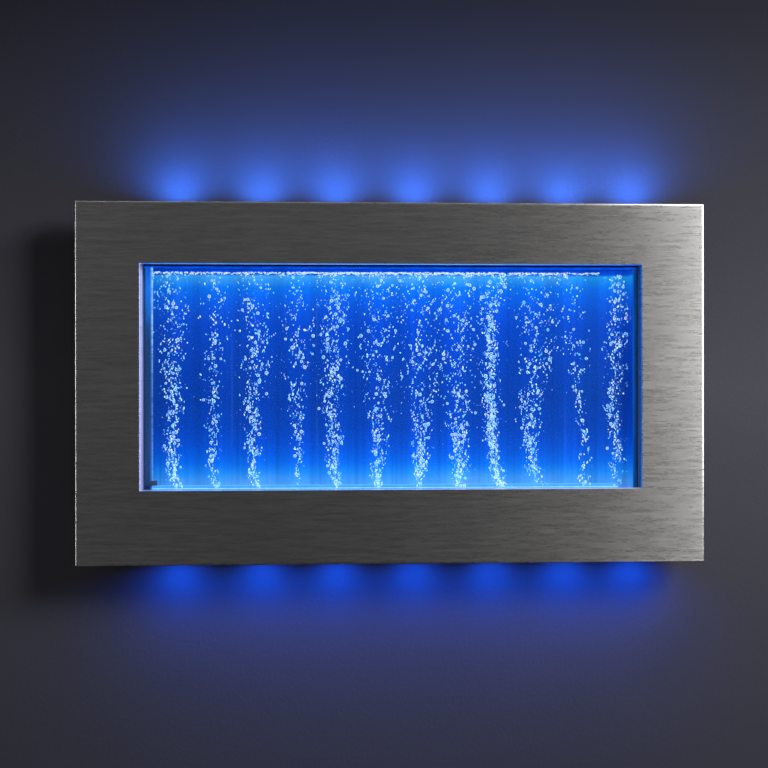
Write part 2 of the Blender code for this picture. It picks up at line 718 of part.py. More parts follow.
def build_tank(looks):
    """Two panes with the end walls, floor and lid between them, and the blue panel behind."""
    left, right, y = TANK_LEFT, TANK_RIGHT, WATER_MIDDLE
    sheets = []
    for name, near, far, look in (("tank_front_pane", FRONT_PANE_FRONT, FRONT_PANE_BACK, "clear"),
                                  ("tank_rear_pane", REAR_PANE_FRONT, REAR_PANE_BACK, "clear"),
                                  ("backing_panel", BACKING_FRONT, BACKING_BACK, "backing")):
        sheets.append(block(name, (left, near, FLOOR_BOTTOM), (right, far, LID_TOP), looks[look]))
    ends = []
    low, high = FLOOR_TOP + FIT, LID_BOTTOM - FIT
    for name, start in (("tank_end_left", left), ("tank_end_right", right - TANK_WALL)):
        end = start + TANK_WALL
        ends.append(block(name, (start, WATER_FRONT, low), (end, WATER_BACK, high), looks["edge"]))
    hole = ((left - OVERRUN, y, INLET_HEIGHT_Z), (left + TANK_WALL + OVERRUN, y, INLET_HEIGHT_Z))
    cut(ends[0], rods("inlet_bore", [hole], ELBOW_SPIGOT + FIT, looks["edge"]))
    floor = block("tank_floor", (left, WATER_FRONT, FLOOR_BOTTOM), (right, WATER_BACK, FLOOR_TOP),
                  looks["edge"])
    drain = ((DRAIN_X, y, FLOOR_BOTTOM - OVERRUN), (DRAIN_X, y, FLOOR_TOP + OVERRUN))
    cut(floor, rods("drain_bore", [drain], DRAIN_NECK_RADIUS + FIT, looks["edge"]))
    lid = block("tank_lid", (left, WATER_FRONT, LID_BOTTOM), (right, WATER_BACK, LID_TOP), looks["lid"])
    filler = ((FILLER_X, y, LID_BOTTOM - OVERRUN), (FILLER_X, y, LID_TOP + OVERRUN))
    cut(lid, rods("filler_bore", [filler], NECK_BORE, looks["lid"], sides=ROUND_STEPS))
    return [*sheets, *ends, floor, lid]


def build_manifold(looks):
    """A bored bar along the tank's floor, with a row of small holes in its top."""
    start = MANIFOLD_START
    last = COLUMN_SHIFT + (COLUMN_COUNT - 1) / 2 * COLUMN_PITCH
    end = last + MANIFOLD_END
    low = FLOOR_TOP + FIT
    high = low + MANIFOLD_HEIGHT
    middle = (low + high) / 2
    bar = block("air_manifold", (start, WATER_MIDDLE - MANIFOLD_DEPTH / 2, low),
                (end, WATER_MIDDLE + MANIFOLD_DEPTH / 2, high), looks["clear"])
    bore = ((start + MANIFOLD_PLUG / 2, WATER_MIDDLE, middle), (end - MANIFOLD_PLUG, WATER_MIDDLE, middle))
    cut(bar, rods("manifold_bore", [bore], MANIFOLD_BORE, looks["clear"], sides=TINY_STEPS))
    holes = []
    for i in range(COLUMN_COUNT):
        x = COLUMN_SHIFT + (i - (COLUMN_COUNT - 1) / 2) * COLUMN_PITCH
        holes.append(((x, WATER_MIDDLE, middle), (x, WATER_MIDDLE, high + OVERRUN)))
    cut(bar, rods("air_holes", holes, AIR_HOLE_RADIUS, looks["clear"], sides=TINY_STEPS))
    x = (start + TANK_INSIDE_LEFT + ELBOW_BLOCK_WIDTH) / 2
    entry = ((x, WATER_MIDDLE, middle), (x, WATER_MIDDLE, high + OVERRUN))
    cut(bar, rods("manifold_entry", [entry], MANIFOLD_BORE - FIT, looks["clear"], sides=TINY_STEPS))
    return [bar]


def build_elbow(looks):
    """The black fitting that brings air through the tank's left end and into the manifold."""
    y, z = WATER_MIDDLE, INLET_HEIGHT_Z
    leg_bottom = z - ELBOW_DROP
    leg = ((ELBOW_X, y, leg_bottom), (ELBOW_X, y, z + ELBOW_CROWN))
    elbow = rods("inlet_elbow", [leg], ELBOW_RADIUS, looks["plastic"])
    inner = TANK_INSIDE_LEFT
    bar = ((ELBOW_X, y, z), (MANIFOLD_START - FIT, y, z))
    across = rods("elbow_spigot", [bar], ELBOW_SPIGOT, looks["plastic"])
    seat = TANK_LEFT - FIT
    nut = rods("elbow_nut", [((seat - ELBOW_NUT_THICKNESS, y, z), (seat, y, z))], ELBOW_NUT_RADIUS,
               looks["plastic"], sides=HEX_SIDES)
    manifold_top = FLOOR_TOP + FIT + MANIFOLD_HEIGHT
    shoe = block("elbow_block", (inner, y - ELBOW_BLOCK_DEPTH / 2, manifold_top + FIT),
                 (inner + ELBOW_BLOCK_WIDTH, y + ELBOW_BLOCK_DEPTH / 2, z + ELBOW_BLOCK_RISE), looks["plastic"])
    join(elbow, across, nut, shoe)
    socket = ((ELBOW_X, y, leg_bottom - OVERRUN), (ELBOW_X, y, leg_bottom + ELBOW_SOCKET_DEPTH))
    cut(elbow, rods("elbow_socket", [socket], SPIGOT_RADIUS + FIT, looks["plastic"]))
    return [elbow]


def build_check_valve(looks):
    """A non-return valve: a barrel with a collar and a spigot at each end."""
    top = INLET_HEIGHT_Z - ELBOW_DROP - FIT
    waist = CHECK_RADIUS * CHECK_WAIST_SHARE
    profile = [(0.0, SPIGOT_LENGTH), (SPIGOT_RADIUS, SPIGOT_LENGTH), (SPIGOT_RADIUS, 0.0), (CHECK_RADIUS, 0.0),
               (CHECK_RADIUS, -CHECK_COLLAR), (waist, -CHECK_COLLAR),
               (waist, CHECK_COLLAR - CHECK_LENGTH), (CHECK_RADIUS, CHECK_COLLAR - CHECK_LENGTH),
               (CHECK_RADIUS, -CHECK_LENGTH), (SPIGOT_RADIUS, -CHECK_LENGTH),
               (SPIGOT_RADIUS, -CHECK_LENGTH - SPIGOT_LENGTH), (0.0, -CHECK_LENGTH - SPIGOT_LENGTH)]
    return [turned("check_valve", profile, (ELBOW_X, WATER_MIDDLE, top), looks["grey"], steps=SMALL_STEPS)]


def build_light_rail(looks, level, start, end, seat):
    """An extrusion against the tank's edge, with a groove that holds a light strip and its diffuser."""
    up = 1 if level == "upper" else -1
    back = TRAY_SEAT - FIT
    pane = FRONT_PANE_FRONT - FIT
    front = pane - RAIL_LIP
    mouth = seat + up * FIT
    crown = mouth + up * RAIL_HEIGHT
    lip = seat - up * RAIL_LIP_HEIGHT
    groove = mouth + up * GROOVE_DEPTH
    half = GROOVE_WIDTH / 2
    loop = [(back, mouth), (back, crown), (front, crown), (front, lip), (pane, lip), (pane, mouth),
            (WATER_MIDDLE - half, mouth), (WATER_MIDDLE - half, groove), (WATER_MIDDLE + half, groove),
            (WATER_MIDDLE + half, mouth)]
    rail = outline("light_rail_" + level, [loop], "X", start, end, looks["alloy"])
    inner = half - FIT
    strip_levels = sorted((groove - up * FIT, groove - up * (FIT + STRIP_THICKNESS)))
    cover_levels = sorted((mouth, mouth + up * DIFFUSER_THICKNESS))
    strip = block("led_strip_" + level, (start + STRIP_END, WATER_MIDDLE - inner, strip_levels[0]),
                  (end - STRIP_END, WATER_MIDDLE + inner, strip_levels[1]), looks["board"])
    diffuser = block("diffuser_" + level, (start + FIT, WATER_MIDDLE - inner, cover_levels[0]),
                     (end - FIT, WATER_MIDDLE + inner, cover_levels[1]), looks["light"])
    return [rail, strip, diffuser]


def build_brackets(looks):
    """Angles that tie both light rails to the tray's back."""
    made = []
    back = TRAY_SEAT - FIT
    for level, up, seat in (("rail_bracket", -1, FLOOR_BOTTOM - FIT - RAIL_HEIGHT - FIT),
                            ("clamp_bracket", 1, LID_TOP + FIT + RAIL_HEIGHT + FIT)):
        far = seat + up * BRACKET_SHEET
        tail = seat + up * BRACKET_FLANGE
        loop = [(back, seat), (back, tail), (back - BRACKET_SHEET, tail), (back - BRACKET_SHEET, far),
                (back - BRACKET_REACH, far), (back - BRACKET_REACH, seat)]
        for side, x in (("left", TANK_LEFT + BRACKET_INSET),
                        ("right", TANK_RIGHT - DRAIN_ROOM - BRACKET_INSET)):
            made.append(outline(level + "_" + side, [loop], "X", x - BRACKET_WIDTH / 2, x + BRACKET_WIDTH / 2,
                                looks["plate"]))
    return made


def build_halo(looks, level):
    """A channel on the tray's edge with a strip of domed lights that wash the wall."""
    up = 1 if level == "upper" else -1
    seat = (TRAY_TOP if up > 0 else TRAY_BOTTOM) + up * FIT
    half_run = (HALO_COUNT - 1) / 2 * HALO_PITCH + HALO_END
    half = HALO_RAIL_WIDTH / 2
    floor = seat + up * HALO_RAIL_WALL
    top = seat + up * HALO_RAIL_HEIGHT
    y = -HALO_BACK
    inner = half - HALO_RAIL_WALL
    loop = [(y - half, seat), (y + half, seat), (y + half, top), (y + inner, top), (y + inner, floor),
            (y - inner, floor), (y - inner, top), (y - half, top)]
    rail = outline("halo_rail_" + level, [loop], "X", HALO_SHIFT - half_run, HALO_SHIFT + half_run,
                   looks["alloy"])
    levels = sorted((floor + up * FIT, floor + up * (FIT + HALO_STRIP)))
    lens = block("halo_lens_" + level, (HALO_SHIFT - half_run + FIT, y - inner + FIT, levels[0]),
                 (HALO_SHIFT + half_run - FIT, y + inner - FIT, levels[1]), looks["light"])
    outer = floor + up * (FIT + HALO_STRIP)
    bm = bmesh.new()
    for i in range(HALO_COUNT):
        x = HALO_SHIFT + (i - (HALO_COUNT - 1) / 2) * HALO_PITCH
        bmesh.ops.create_uvsphere(bm, u_segments=SMALL_STEPS, v_segments=TINY_STEPS, radius=HALO_DOME,
                                  matrix=Matrix.Translation((x, y, outer)))
    bmesh.ops.bisect_plane(bm, geom=[*bm.verts, *bm.edges, *bm.faces], dist=MERGE / 10, clear_inner=True,
                           plane_co=(HALO_SHIFT, y, outer - up * HALO_STRIP / 2), plane_no=(0.0, 0.0, up))
    bmesh.ops.holes_fill(bm, edges=[edge for edge in bm.edges if edge.is_boundary], sides=0)
    bmesh.ops.recalc_face_normals(bm, faces=bm.faces)
    join(lens, place_mesh("halo_domes_" + level, bm, (HALO_SHIFT, y, outer), looks["light"], smooth=True))
    return [rail, lens]


def build_pump(looks):
    """The vibrating-arm air pump, without its arm."""
    left, right = PUMP_X - PUMP_LENGTH / 2, PUMP_X + PUMP_LENGTH / 2
    near, far = PUMP_Y - PUMP_DEPTH / 2, PUMP_Y + PUMP_DEPTH / 2
    rim = PUMP_FLOOR + PUMP_CASE_HEIGHT
    case = open_box("pump_case", (left, near, PUMP_FLOOR), (right, far, rim), (0.0, 0.0, 1.0), looks["plastic"],
                    PUMP_WALL)
    cheek_low, cheek_high = PUMP_FLOOR + PUMP_WALL / 2, PIVOT_Z + PUMP_CHEEK_TOP
    cheek_left, cheek_right = PIVOT_X - PUMP_CHEEK_WIDTH / 2, PIVOT_X + PUMP_CHEEK_WIDTH / 2
    for name, way in (("pump_cheek_front", -1), ("pump_cheek_back", 1)):
        faces = sorted(PUMP_Y + way * (PUMP_CHEEK_GAP / 2 + depth) for depth in (0.0, PUMP_CHEEK_SHEET))
        join(case, block(name, (cheek_left, faces[0], cheek_low), (cheek_right, faces[1], cheek_high),
                         looks["plastic"]))
    reach = PUMP_CHEEK_GAP / 2 + PUMP_CHEEK_SHEET / 2
    join(case, rods("pump_pin", [((PIVOT_X, PUMP_Y - reach, PIVOT_Z), (PIVOT_X, PUMP_Y + reach, PIVOT_Z))],
                    PUMP_PIN_RADIUS, looks["plastic"]))
    cut(case, rods("nozzle_hole", [((left - OVERRUN, PUMP_Y, NOZZLE_Z), (left + OVERRUN, PUMP_Y, NOZZLE_Z))],
                   NOZZLE_RADIUS + FIT, looks["plastic"]))

    lid_low = rim + FIT
    cover = open_box("pump_cover", (left, near, lid_low), (right, far, lid_low + PUMP_COVER_HEIGHT),
                     (0.0, 0.0, -1.0), looks["plastic"], PUMP_WALL, rounding=PUMP_ROUND)

    core_x = PIVOT_X + MAGNET_BLOCK_REACH
    low = PUMP_SEAT
    base = low + CORE_BASE
    top = low + CORE_HEIGHT
    outer, slot, limb = CORE_WIDTH / 2, CORE_WIDTH / 2 - CORE_LIMB, CORE_LIMB / 2
    loop = [(core_x - outer, low), (core_x + outer, low), (core_x + outer, top), (core_x + slot, top),
            (core_x + slot, base), (core_x + limb, base), (core_x + limb, top), (core_x - limb, top),
            (core_x - limb, base), (core_x - slot, base), (core_x - slot, top), (core_x - outer, top)]
    core = outline("pump_core", [loop], "Y", PUMP_Y - CORE_DEPTH / 2, PUMP_Y + CORE_DEPTH / 2, looks["iron"])
    hole_x, hole_y = limb + FIT, CORE_DEPTH / 2 + FIT
    coil_loops = [rectangle(core_x - hole_x - COIL_WALL, core_x + hole_x + COIL_WALL,
                            PUMP_Y - hole_y - COIL_WALL, PUMP_Y + hole_y + COIL_WALL),
                  rectangle(core_x - hole_x, core_x + hole_x, PUMP_Y - hole_y, PUMP_Y + hole_y)]
    coil = outline("pump_coil", coil_loops, "Z", base + FIT, base + FIT + COIL_HEIGHT, looks["copper"])

    box_x = PIVOT_X + DIAPHRAGM_REACH
    box_left = box_x - VALVE_BOX_LENGTH / 2
    box_top = PUMP_SEAT + VALVE_BOX_HEIGHT
    valve_box = block("pump_valve_box", (box_left, PUMP_Y - VALVE_BOX_WIDTH / 2, PUMP_SEAT),
                      (box_x + VALVE_BOX_LENGTH / 2, PUMP_Y + VALVE_BOX_WIDTH / 2, box_top), looks["grey"])
    nozzle = ((box_left + OVERRUN, PUMP_Y, NOZZLE_Z), (NOZZLE_TIP, PUMP_Y, NOZZLE_Z))
    join(valve_box, rods("pump_nozzle", [nozzle], NOZZLE_RADIUS, looks["grey"]))
    arm_underside = PIVOT_Z - ARM_THICKNESS / 2
    height = arm_underside - FIT - (box_top + FIT)
    folds = [(DIAPHRAGM_WAIST if i % 2 else DIAPHRAGM_RADIUS, height * share)
             for i, share in enumerate(DIAPHRAGM_FOLD_SHARES)]
    profile = [(0.0, height), (DIAPHRAGM_WAIST, height), *folds, (DIAPHRAGM_WAIST, 0.0), (0.0, 0.0)]
    diaphragm = turned("pump_diaphragm", profile, (box_x, PUMP_Y, box_top + FIT), looks["rubber"],
                       steps=SMALL_STEPS)
    return [case, cover, core, coil, valve_box, diaphragm]


def build_pump_arm(looks, pivot):
    """The arm that swings on the case's pin, with the magnet that the coil drives."""
    low, high = PIVOT_Z - ARM_THICKNESS / 2, PIVOT_Z + ARM_THICKNESS / 2
    half = ARM_WIDTH / 2
    place = (PIVOT_X, PUMP_Y, PIVOT_Z)
    arm = block("pump_arm", (PIVOT_X, PUMP_Y - half, low), (PIVOT_X + ARM_LENGTH, PUMP_Y + half, high),
                looks["grey"], origin=place)
    join(arm, rods("arm_eye", [((PIVOT_X, PUMP_Y - half, PIVOT_Z), (PIVOT_X, PUMP_Y + half, PIVOT_Z))],
                   ARM_EYE_RADIUS, looks["grey"], sides=SMALL_STEPS))
    bore = half + OVERRUN
    cut(arm, rods("arm_bore", [((PIVOT_X, PUMP_Y - bore, PIVOT_Z), (PIVOT_X, PUMP_Y + bore, PIVOT_Z))],
                  ARM_EYE_BORE, looks["grey"]))
    magnet_x = PIVOT_X + MAGNET_BLOCK_REACH
    top = low - FIT
    along, across = MAGNET_BLOCK_LENGTH / 2, MAGNET_BLOCK_WIDTH / 2
    magnet = block("pump_magnet", (magnet_x - along, PUMP_Y - across, top - MAGNET_BLOCK_HEIGHT),
                   (magnet_x + along, PUMP_Y + across, top), looks["iron"], origin=place)
    hang(arm, pivot)
    hang(magnet, pivot)


def build_air_valve(looks, parent):
    """The needle valve's body inside the tray and its knob below, which turns about a vertical axis."""
    half = VALVE_WIDTH / 2
    y = WATER_MIDDLE
    low = TRAY_INSIDE_BOTTOM + FIT
    body = block("air_valve_body", (VALVE_X - half, y - half, low),
                 (VALVE_X + half, y + half, low + VALVE_HEIGHT), looks["brass"])
    reach = half + VALVE_BARB
    join(body, rods("valve_barbs", [((VALVE_X - reach, y, NOZZLE_Z), (VALVE_X + reach, y, NOZZLE_Z))],
                    NOZZLE_RADIUS, looks["brass"]))
    cut(body, rods("valve_seat", [((VALVE_X, y, low - OVERRUN), (VALVE_X, y, low + VALVE_STEM_DEPTH + FIT))],
                   VALVE_STEM_RADIUS + FIT, looks["brass"]))
    crown = -VALVE_KNOB_GAP
    base = crown - VALVE_KNOB_HEIGHT
    stem_top = TRAY_SHEET + FIT + VALVE_STEM_DEPTH
    profile = [(0.0, stem_top), (VALVE_STEM_RADIUS, stem_top), (VALVE_STEM_RADIUS, crown),
               (VALVE_KNOB_RADIUS, crown), (VALVE_KNOB_RADIUS, base + VALVE_KNOB_ROUND),
               (VALVE_KNOB_RADIUS - VALVE_KNOB_ROUND, base), (0.0, base)]
    knob = turned("air_valve_knob", profile, (VALVE_X, y, TRAY_BOTTOM), looks["plastic"])
    hang(knob, parent)
    return [body]


def build_hoses(looks):
    """Soft hoses from the pump to the valve, and from the valve up to the check valve."""
    y = WATER_MIDDLE
    start = Vector((NOZZLE_TIP - FIT, PUMP_Y, NOZZLE_Z))
    end = Vector((VALVE_X + VALVE_WIDTH / 2 + VALVE_BARB + FIT, y, NOZZLE_Z))
    run = []
    for i in range(HOSE_POINTS):
        share = i / (HOSE_POINTS - 1)
        ease = (1.0 - math.cos(math.pi * share)) / 2
        run.append((start.x + (end.x - start.x) * share, start.y + (end.y - start.y) * ease, NOZZLE_Z))
    lower = tube("air_hose_lower", run, HOSE_RADIUS, looks["hose"])

    mouth = VALVE_X - VALVE_WIDTH / 2 - VALVE_BARB - FIT
    bottom = INLET_HEIGHT_Z - ELBOW_DROP - FIT - CHECK_LENGTH - SPIGOT_LENGTH - FIT
    radius = min(HOSE_BEND - FIT, bottom - NOZZLE_Z)
    centre = (ELBOW_X + radius, NOZZLE_Z + radius)
    bend = [(x, y, z) for x, z in arc(centre, radius, 270.0, 180.0, HOSE_POINTS)]
    rise = [] if bottom - bend[-1][2] < MERGE else [(ELBOW_X, y, bottom)]
    lead_in = [] if mouth - bend[0][0] < MERGE else [(mouth, y, NOZZLE_Z)]
    upper = tube("air_hose_upper", lead_in + bend + rise, HOSE_RADIUS, looks["hose"])
    return [lower, upper]


def build_electrics(looks, parent):
    """The light driver, the controller with its button, the mains inlet and the switch with its rocker."""
    y = WATER_MIDDLE
    half_depth = BOX_DEPTH / 2
    low = TRAY_INSIDE_BOTTOM + FIT
    driver = block("led_driver", (DRIVER_X - DRIVER_LENGTH / 2, y - half_depth, low),
                   (DRIVER_X + DRIVER_LENGTH / 2, y + half_depth, low + DRIVER_HEIGHT), looks["alloy"])
    reach = DRIVER_LENGTH / 2 + DRIVER_FOOT
    foot = half_depth * DRIVER_FOOT_SHARE
    join(driver, block("driver_feet", (DRIVER_X - reach, y - foot, low),
                       (DRIVER_X + reach, y + foot, low + DRIVER_FOOT_SHEET), looks["alloy"]))

    x = CONTROLLER_X
    case = block("controller_case", (x - CONTROLLER_LENGTH / 2, y - half_depth, low),
                 (x + CONTROLLER_LENGTH / 2, y + half_depth, low + CONTROLLER_HEIGHT), looks["plastic"])
    round_edges(case, BOX_ROUND, segments=1)
    well = ((BUTTON_X, y, low - OVERRUN), (BUTTON_X, y, low + BUTTON_STEM_DEPTH + BUTTON_TRAVEL + FIT))
    cut(case, rods("button_well", [well], BUTTON_STEM_RADIUS + FIT, looks["plastic"]))
    crown = -BUTTON_TRAVEL - FIT
    stem_top = TRAY_SHEET + FIT + BUTTON_STEM_DEPTH
    profile = [(0.0, stem_top), (BUTTON_STEM_RADIUS, stem_top), (BUTTON_STEM_RADIUS, crown),
               (BUTTON_RADIUS, crown), (BUTTON_RADIUS, crown - BUTTON_HEIGHT), (0.0, crown - BUTTON_HEIGHT)]
    button = turned("mode_button", profile, (BUTTON_X, y, TRAY_BOTTOM), looks["grey"], steps=SMALL_STEPS)
    hang(button, parent)
    return [driver, case, *build_inlet(looks), *build_switch(looks, parent)]


def build_inlet(looks):
    """The three-blade mains inlet, open downwards."""
    x, y = INLET_X, WATER_MIDDLE
    half_x, half_y = INLET_WIDTH / 2, INLET_DEPTH / 2
    inlet = block("power_inlet", (x - half_x, y - half_y, TRAY_BOTTOM - FIT - INLET_FLANGE / 2),
                  (x + half_x, y + half_y, TRAY_BOTTOM + INLET_HEIGHT), looks["plastic"])
    flange_low = TRAY_BOTTOM - FIT - INLET_FLANGE
    join(inlet, block("inlet_flange", (x - half_x - INLET_LIP, y - half_y - INLET_LIP, flange_low),
                      (x + half_x + INLET_LIP, y + half_y + INLET_LIP, TRAY_BOTTOM - FIT), looks["plastic"]))
    socket_top = flange_low + INLET_SOCKET
    cut(inlet, block("inlet_socket", (x - half_x + INLET_WALL, y - half_y + INLET_WALL, flange_low - OVERRUN),
                     (x + half_x - INLET_WALL, y + half_y - INLET_WALL, socket_top), looks["plastic"]))
    blade_low, blade_high = socket_top - INLET_BLADE_LENGTH, socket_top + INLET_BLADE_WIDTH
    half_width, half_deep = INLET_BLADE_WIDTH / 2, INLET_BLADE_DEPTH / 2
    for name, step in (("inlet_blade_left", -1), ("inlet_blade_middle", 0), ("inlet_blade_right", 1)):
        blade_x = x + step * INLET_BLADE_PITCH
        join(inlet, block(name, (blade_x - half_width, y - half_deep, blade_low),
                          (blade_x + half_width, y + half_deep, blade_high), looks["brass"]))
    return [inlet]


def build_switch(looks, parent):
    """The switch body and its rocker, which tilts about an axis along Y."""
    x, y = SWITCH_X, WATER_MIDDLE
    half_x, half_y = SWITCH_WIDTH / 2, SWITCH_DEPTH / 2
    face = TRAY_BOTTOM - FIT - SWITCH_FLANGE
    body = block("switch_body", (x - half_x, y - half_y, face + SWITCH_FLANGE / 2),
                 (x + half_x, y + half_y, TRAY_BOTTOM + SWITCH_HEIGHT), looks["plastic"])
    join(body, block("switch_bezel", (x - half_x - SWITCH_LIP, y - half_y - SWITCH_LIP, face),
                     (x + half_x + SWITCH_LIP, y + half_y + SWITCH_LIP, TRAY_BOTTOM - FIT), looks["plastic"]))
    pocket_x, pocket_y = half_x - SWITCH_WALL, half_y - SWITCH_WALL
    cut(body, block("switch_pocket", (x - pocket_x, y - pocket_y, face - OVERRUN),
                    (x + pocket_x, y + pocket_y, face + SWITCH_POCKET), looks["plastic"]))
    reach = pocket_x - ROCKER_CLEARANCE
    width = pocket_y - FIT
    loop = [(-reach, -ROCKER_FACE), (0.0, -ROCKER_FACE + ROCKER_DIP), (reach, -ROCKER_FACE),
            (reach, ROCKER_SHOULDER), (0.0, ROCKER_KEEL), (-reach, ROCKER_SHOULDER)]
    rocker = outline("switch_rocker", [loop], "Y", -width, width, looks["plastic"])
    tilt = Matrix.Rotation(math.radians(ROCKER_TILT), 4, "Y")
    rocker.matrix_world = Matrix.Translation((x, y, face)) @ tilt @ rocker.matrix_world
    hang(rocker, parent)
    return [body]


def build_drain(looks, parent):
    """The drain tap under the tank's floor and its quarter-turn lever."""
    y = WATER_MIDDLE
    top = FLOOR_TOP - FIT
    seat = FLOOR_BOTTOM - FIT
    nut = seat - DRAIN_NUT_HEIGHT
    ball = seat - DRAIN_BALL_DROP
    ball_top, ball_low = ball + DRAIN_BALL_HEIGHT / 2, ball - DRAIN_BALL_HEIGHT / 2
    tip = TRAY_BOTTOM - DRAIN_SPOUT_LENGTH
    levels = [(DRAIN_BORE, top), (DRAIN_NECK_RADIUS, top), (DRAIN_NECK_RADIUS, seat), (DRAIN_NUT_RADIUS, seat),
              (DRAIN_NUT_RADIUS, nut), (DRAIN_WAIST_RADIUS, nut), (DRAIN_WAIST_RADIUS, ball_top),
              (DRAIN_BALL_RADIUS, ball_top - DRAIN_BALL_SHOULDER),
              (DRAIN_BALL_RADIUS, ball_low + DRAIN_BALL_SHOULDER),
              (DRAIN_WAIST_RADIUS, ball_low), (DRAIN_SPOUT_RADIUS, ball_low - DRAIN_NUT_HEIGHT),
              (DRAIN_SPOUT_RADIUS, tip), (DRAIN_BORE, tip)]
    tap = turned("drain_tap", [(radius, z - ball) for radius, z in levels], (DRAIN_X, y, ball), looks["brass"],
                 steps=SMALL_STEPS, closed=True)
    stem_root = y - DRAIN_BALL_RADIUS * DRAIN_STEM_ROOT_SHARE
    stem_tip = y - DRAIN_BALL_RADIUS - DRAIN_STEM_LENGTH
    stem = ((DRAIN_X, stem_root, ball), (DRAIN_X, stem_tip, ball))
    join(tap, rods("drain_stem", [stem], DRAIN_STEM_RADIUS, looks["brass"]))

    lever_back = stem_tip + LEVER_SOCKET
    lever_front = lever_back - LEVER_THICKNESS
    slope = math.degrees(math.asin((LEVER_HUB_RADIUS - LEVER_TIP_RADIUS) / LEVER_LENGTH))
    loop = (arc((0.0, 0.0), LEVER_HUB_RADIUS, -90.0 - slope, 90.0 + slope, ROUND_STEPS // 2)
            + arc((-LEVER_LENGTH, 0.0), LEVER_TIP_RADIUS, 90.0 + slope, 270.0 - slope, TINY_STEPS))
    placed = [(DRAIN_X + across, ball + up) for across, up in loop]
    lever = outline("drain_lever", [placed], "Y", lever_front, lever_back, looks["lever"])
    lever.data.transform(Matrix.Translation((-DRAIN_X, -ball, 0.0)))
    lever.location = (DRAIN_X, lever.location.y, ball)
    cut(lever, rods("lever_socket", [((DRAIN_X, lever_back + OVERRUN, ball), (DRAIN_X, stem_tip - FIT, ball))],
                    DRAIN_STEM_RADIUS + FIT, looks["lever"]))
    hang(lever, parent)
    return [tap]


def build_filler(looks, parent):
    """The filler neck on the lid and the cap that lifts off it."""
    place = (FILLER_X, WATER_MIDDLE, LID_TOP + FIT)
    profile = [(NECK_BORE, NECK_HEIGHT), (NECK_RADIUS, NECK_HEIGHT), (NECK_RADIUS, NECK_FLANGE_HEIGHT),
               (NECK_FLANGE_RADIUS, NECK_FLANGE_HEIGHT), (NECK_FLANGE_RADIUS, 0.0), (NECK_BORE, 0.0)]
    neck = turned("filler_neck", profile, place, looks["plastic"], closed=True)
    skirt = NECK_RADIUS + CAP_SKIRT_GAP
    underside = NECK_HEIGHT + FIT
    top = underside + CAP_TOP
    low = top - CAP_HEIGHT
    profile = [(0.0, top), (CAP_RADIUS, top), (CAP_RADIUS, low), (skirt, low), (skirt, underside),
               (0.0, underside)]
    cap = turned("filler_cap", profile, place, looks["plastic"])
    hang(cap, parent)
    return [neck]


def build_leads(looks):
    """The mains lead from the inlet to the driver, and the lead from the controller up to the upper lights."""
    inlet_top = TRAY_BOTTOM + INLET_HEIGHT + FIT
    driver_end = DRIVER_X + DRIVER_LENGTH / 2 + FIT
    driver_level = TRAY_INSIDE_BOTTOM + FIT + DRIVER_HEIGHT / 2
    crest = TRAY_BOTTOM + INLET_HEIGHT + MAINS_LEAD_ARCH
    straight = MAINS_LEAD_STRAIGHT
    knots = [(INLET_X, inlet_top), (INLET_X, inlet_top + straight / 2),
             (INLET_X, inlet_top + straight), ((INLET_X * 3 + SWITCH_X) / 4, crest),
             (SWITCH_X, crest),
             ((SWITCH_X + driver_end) / 2, (crest + driver_level) / 2),
             (driver_end + straight * 2, driver_level), (driver_end + straight, driver_level),
             (driver_end, driver_level)]
    run = smooth_run([(x, WATER_MIDDLE, z) for x, z in knots], LEAD_POINTS)
    mains = tube("mains_lead", run, MAINS_LEAD_RADIUS, looks["rubber"], resolution=1)

    back = TRAY_SEAT - FIT - LIGHT_LEAD_RADIUS - FIT
    start_x = CONTROLLER_X + CONTROLLER_LENGTH / 4
    start_z = TRAY_INSIDE_BOTTOM + FIT + CONTROLLER_HEIGHT + FIT
    bend = LIGHT_LEAD_BEND
    low = FLOOR_BOTTOM - RAIL_HEIGHT - BRACKET_SHEET - bend
    behind = WATER_MIDDLE + DRAIN_BALL_RADIUS + LIGHT_LEAD_RADIUS + LIGHT_LEAD_GAP
    side = (TANK_RIGHT + TRAY_HALF - TRAY_FLANGE) / 2
    end_x = TANK_RIGHT - FILLER_ROOM + FIT
    end_z = LID_TOP + FIT + RAIL_HEIGHT / 2
    low_knots = [(start_x, start_z), (start_x, start_z + bend / 4), (start_x, start_z + bend / 2),
                 (start_x + bend, low), ((start_x + DRAIN_X) / 2, low), (DRAIN_X - bend, low),
                 (side - bend, low + bend / 4), (side, low + bend + bend / 2), (side, (low + end_z) / 2),
                 (side, end_z - bend * 2)]
    high_xs = [end_x + (side - bend - end_x) * share for share in LIGHT_LEAD_END_SHARES]
    knots = [*((x, behind, z) for x, z in low_knots), *((x, back, end_z) for x in high_xs)]
    run = smooth_run(knots, LEAD_POINTS)
    lights = tube("light_lead", run, LIGHT_LEAD_RADIUS, looks["rubber"], resolution=1)
    return [mains, lights]


def smooth_run(knots, count):
    """Evenly counted points on a smooth curve through the given points, straight at both ends."""
    spread = [Vector(k) for k in knots]
    padded = [spread[0] * 2 - spread[1], *spread, spread[-1] * 2 - spread[-2]]
    run = []
    for i in range(count):
        along = i / (count - 1) * (len(spread) - 1)
        k = min(int(along), len(spread) - 2)
        t = along - k
        before, start, end, after = padded[k:k + 4]
        slope_start, slope_end = (end - before) / 2, (after - start) / 2
        rise = end - start
        bow = 3 * rise - 2 * slope_start - slope_end
        swing = slope_start + slope_end - 2 * rise
        run.append(tuple(start + slope_start * t + bow * t ** 2 + swing * t ** 3))
    return run


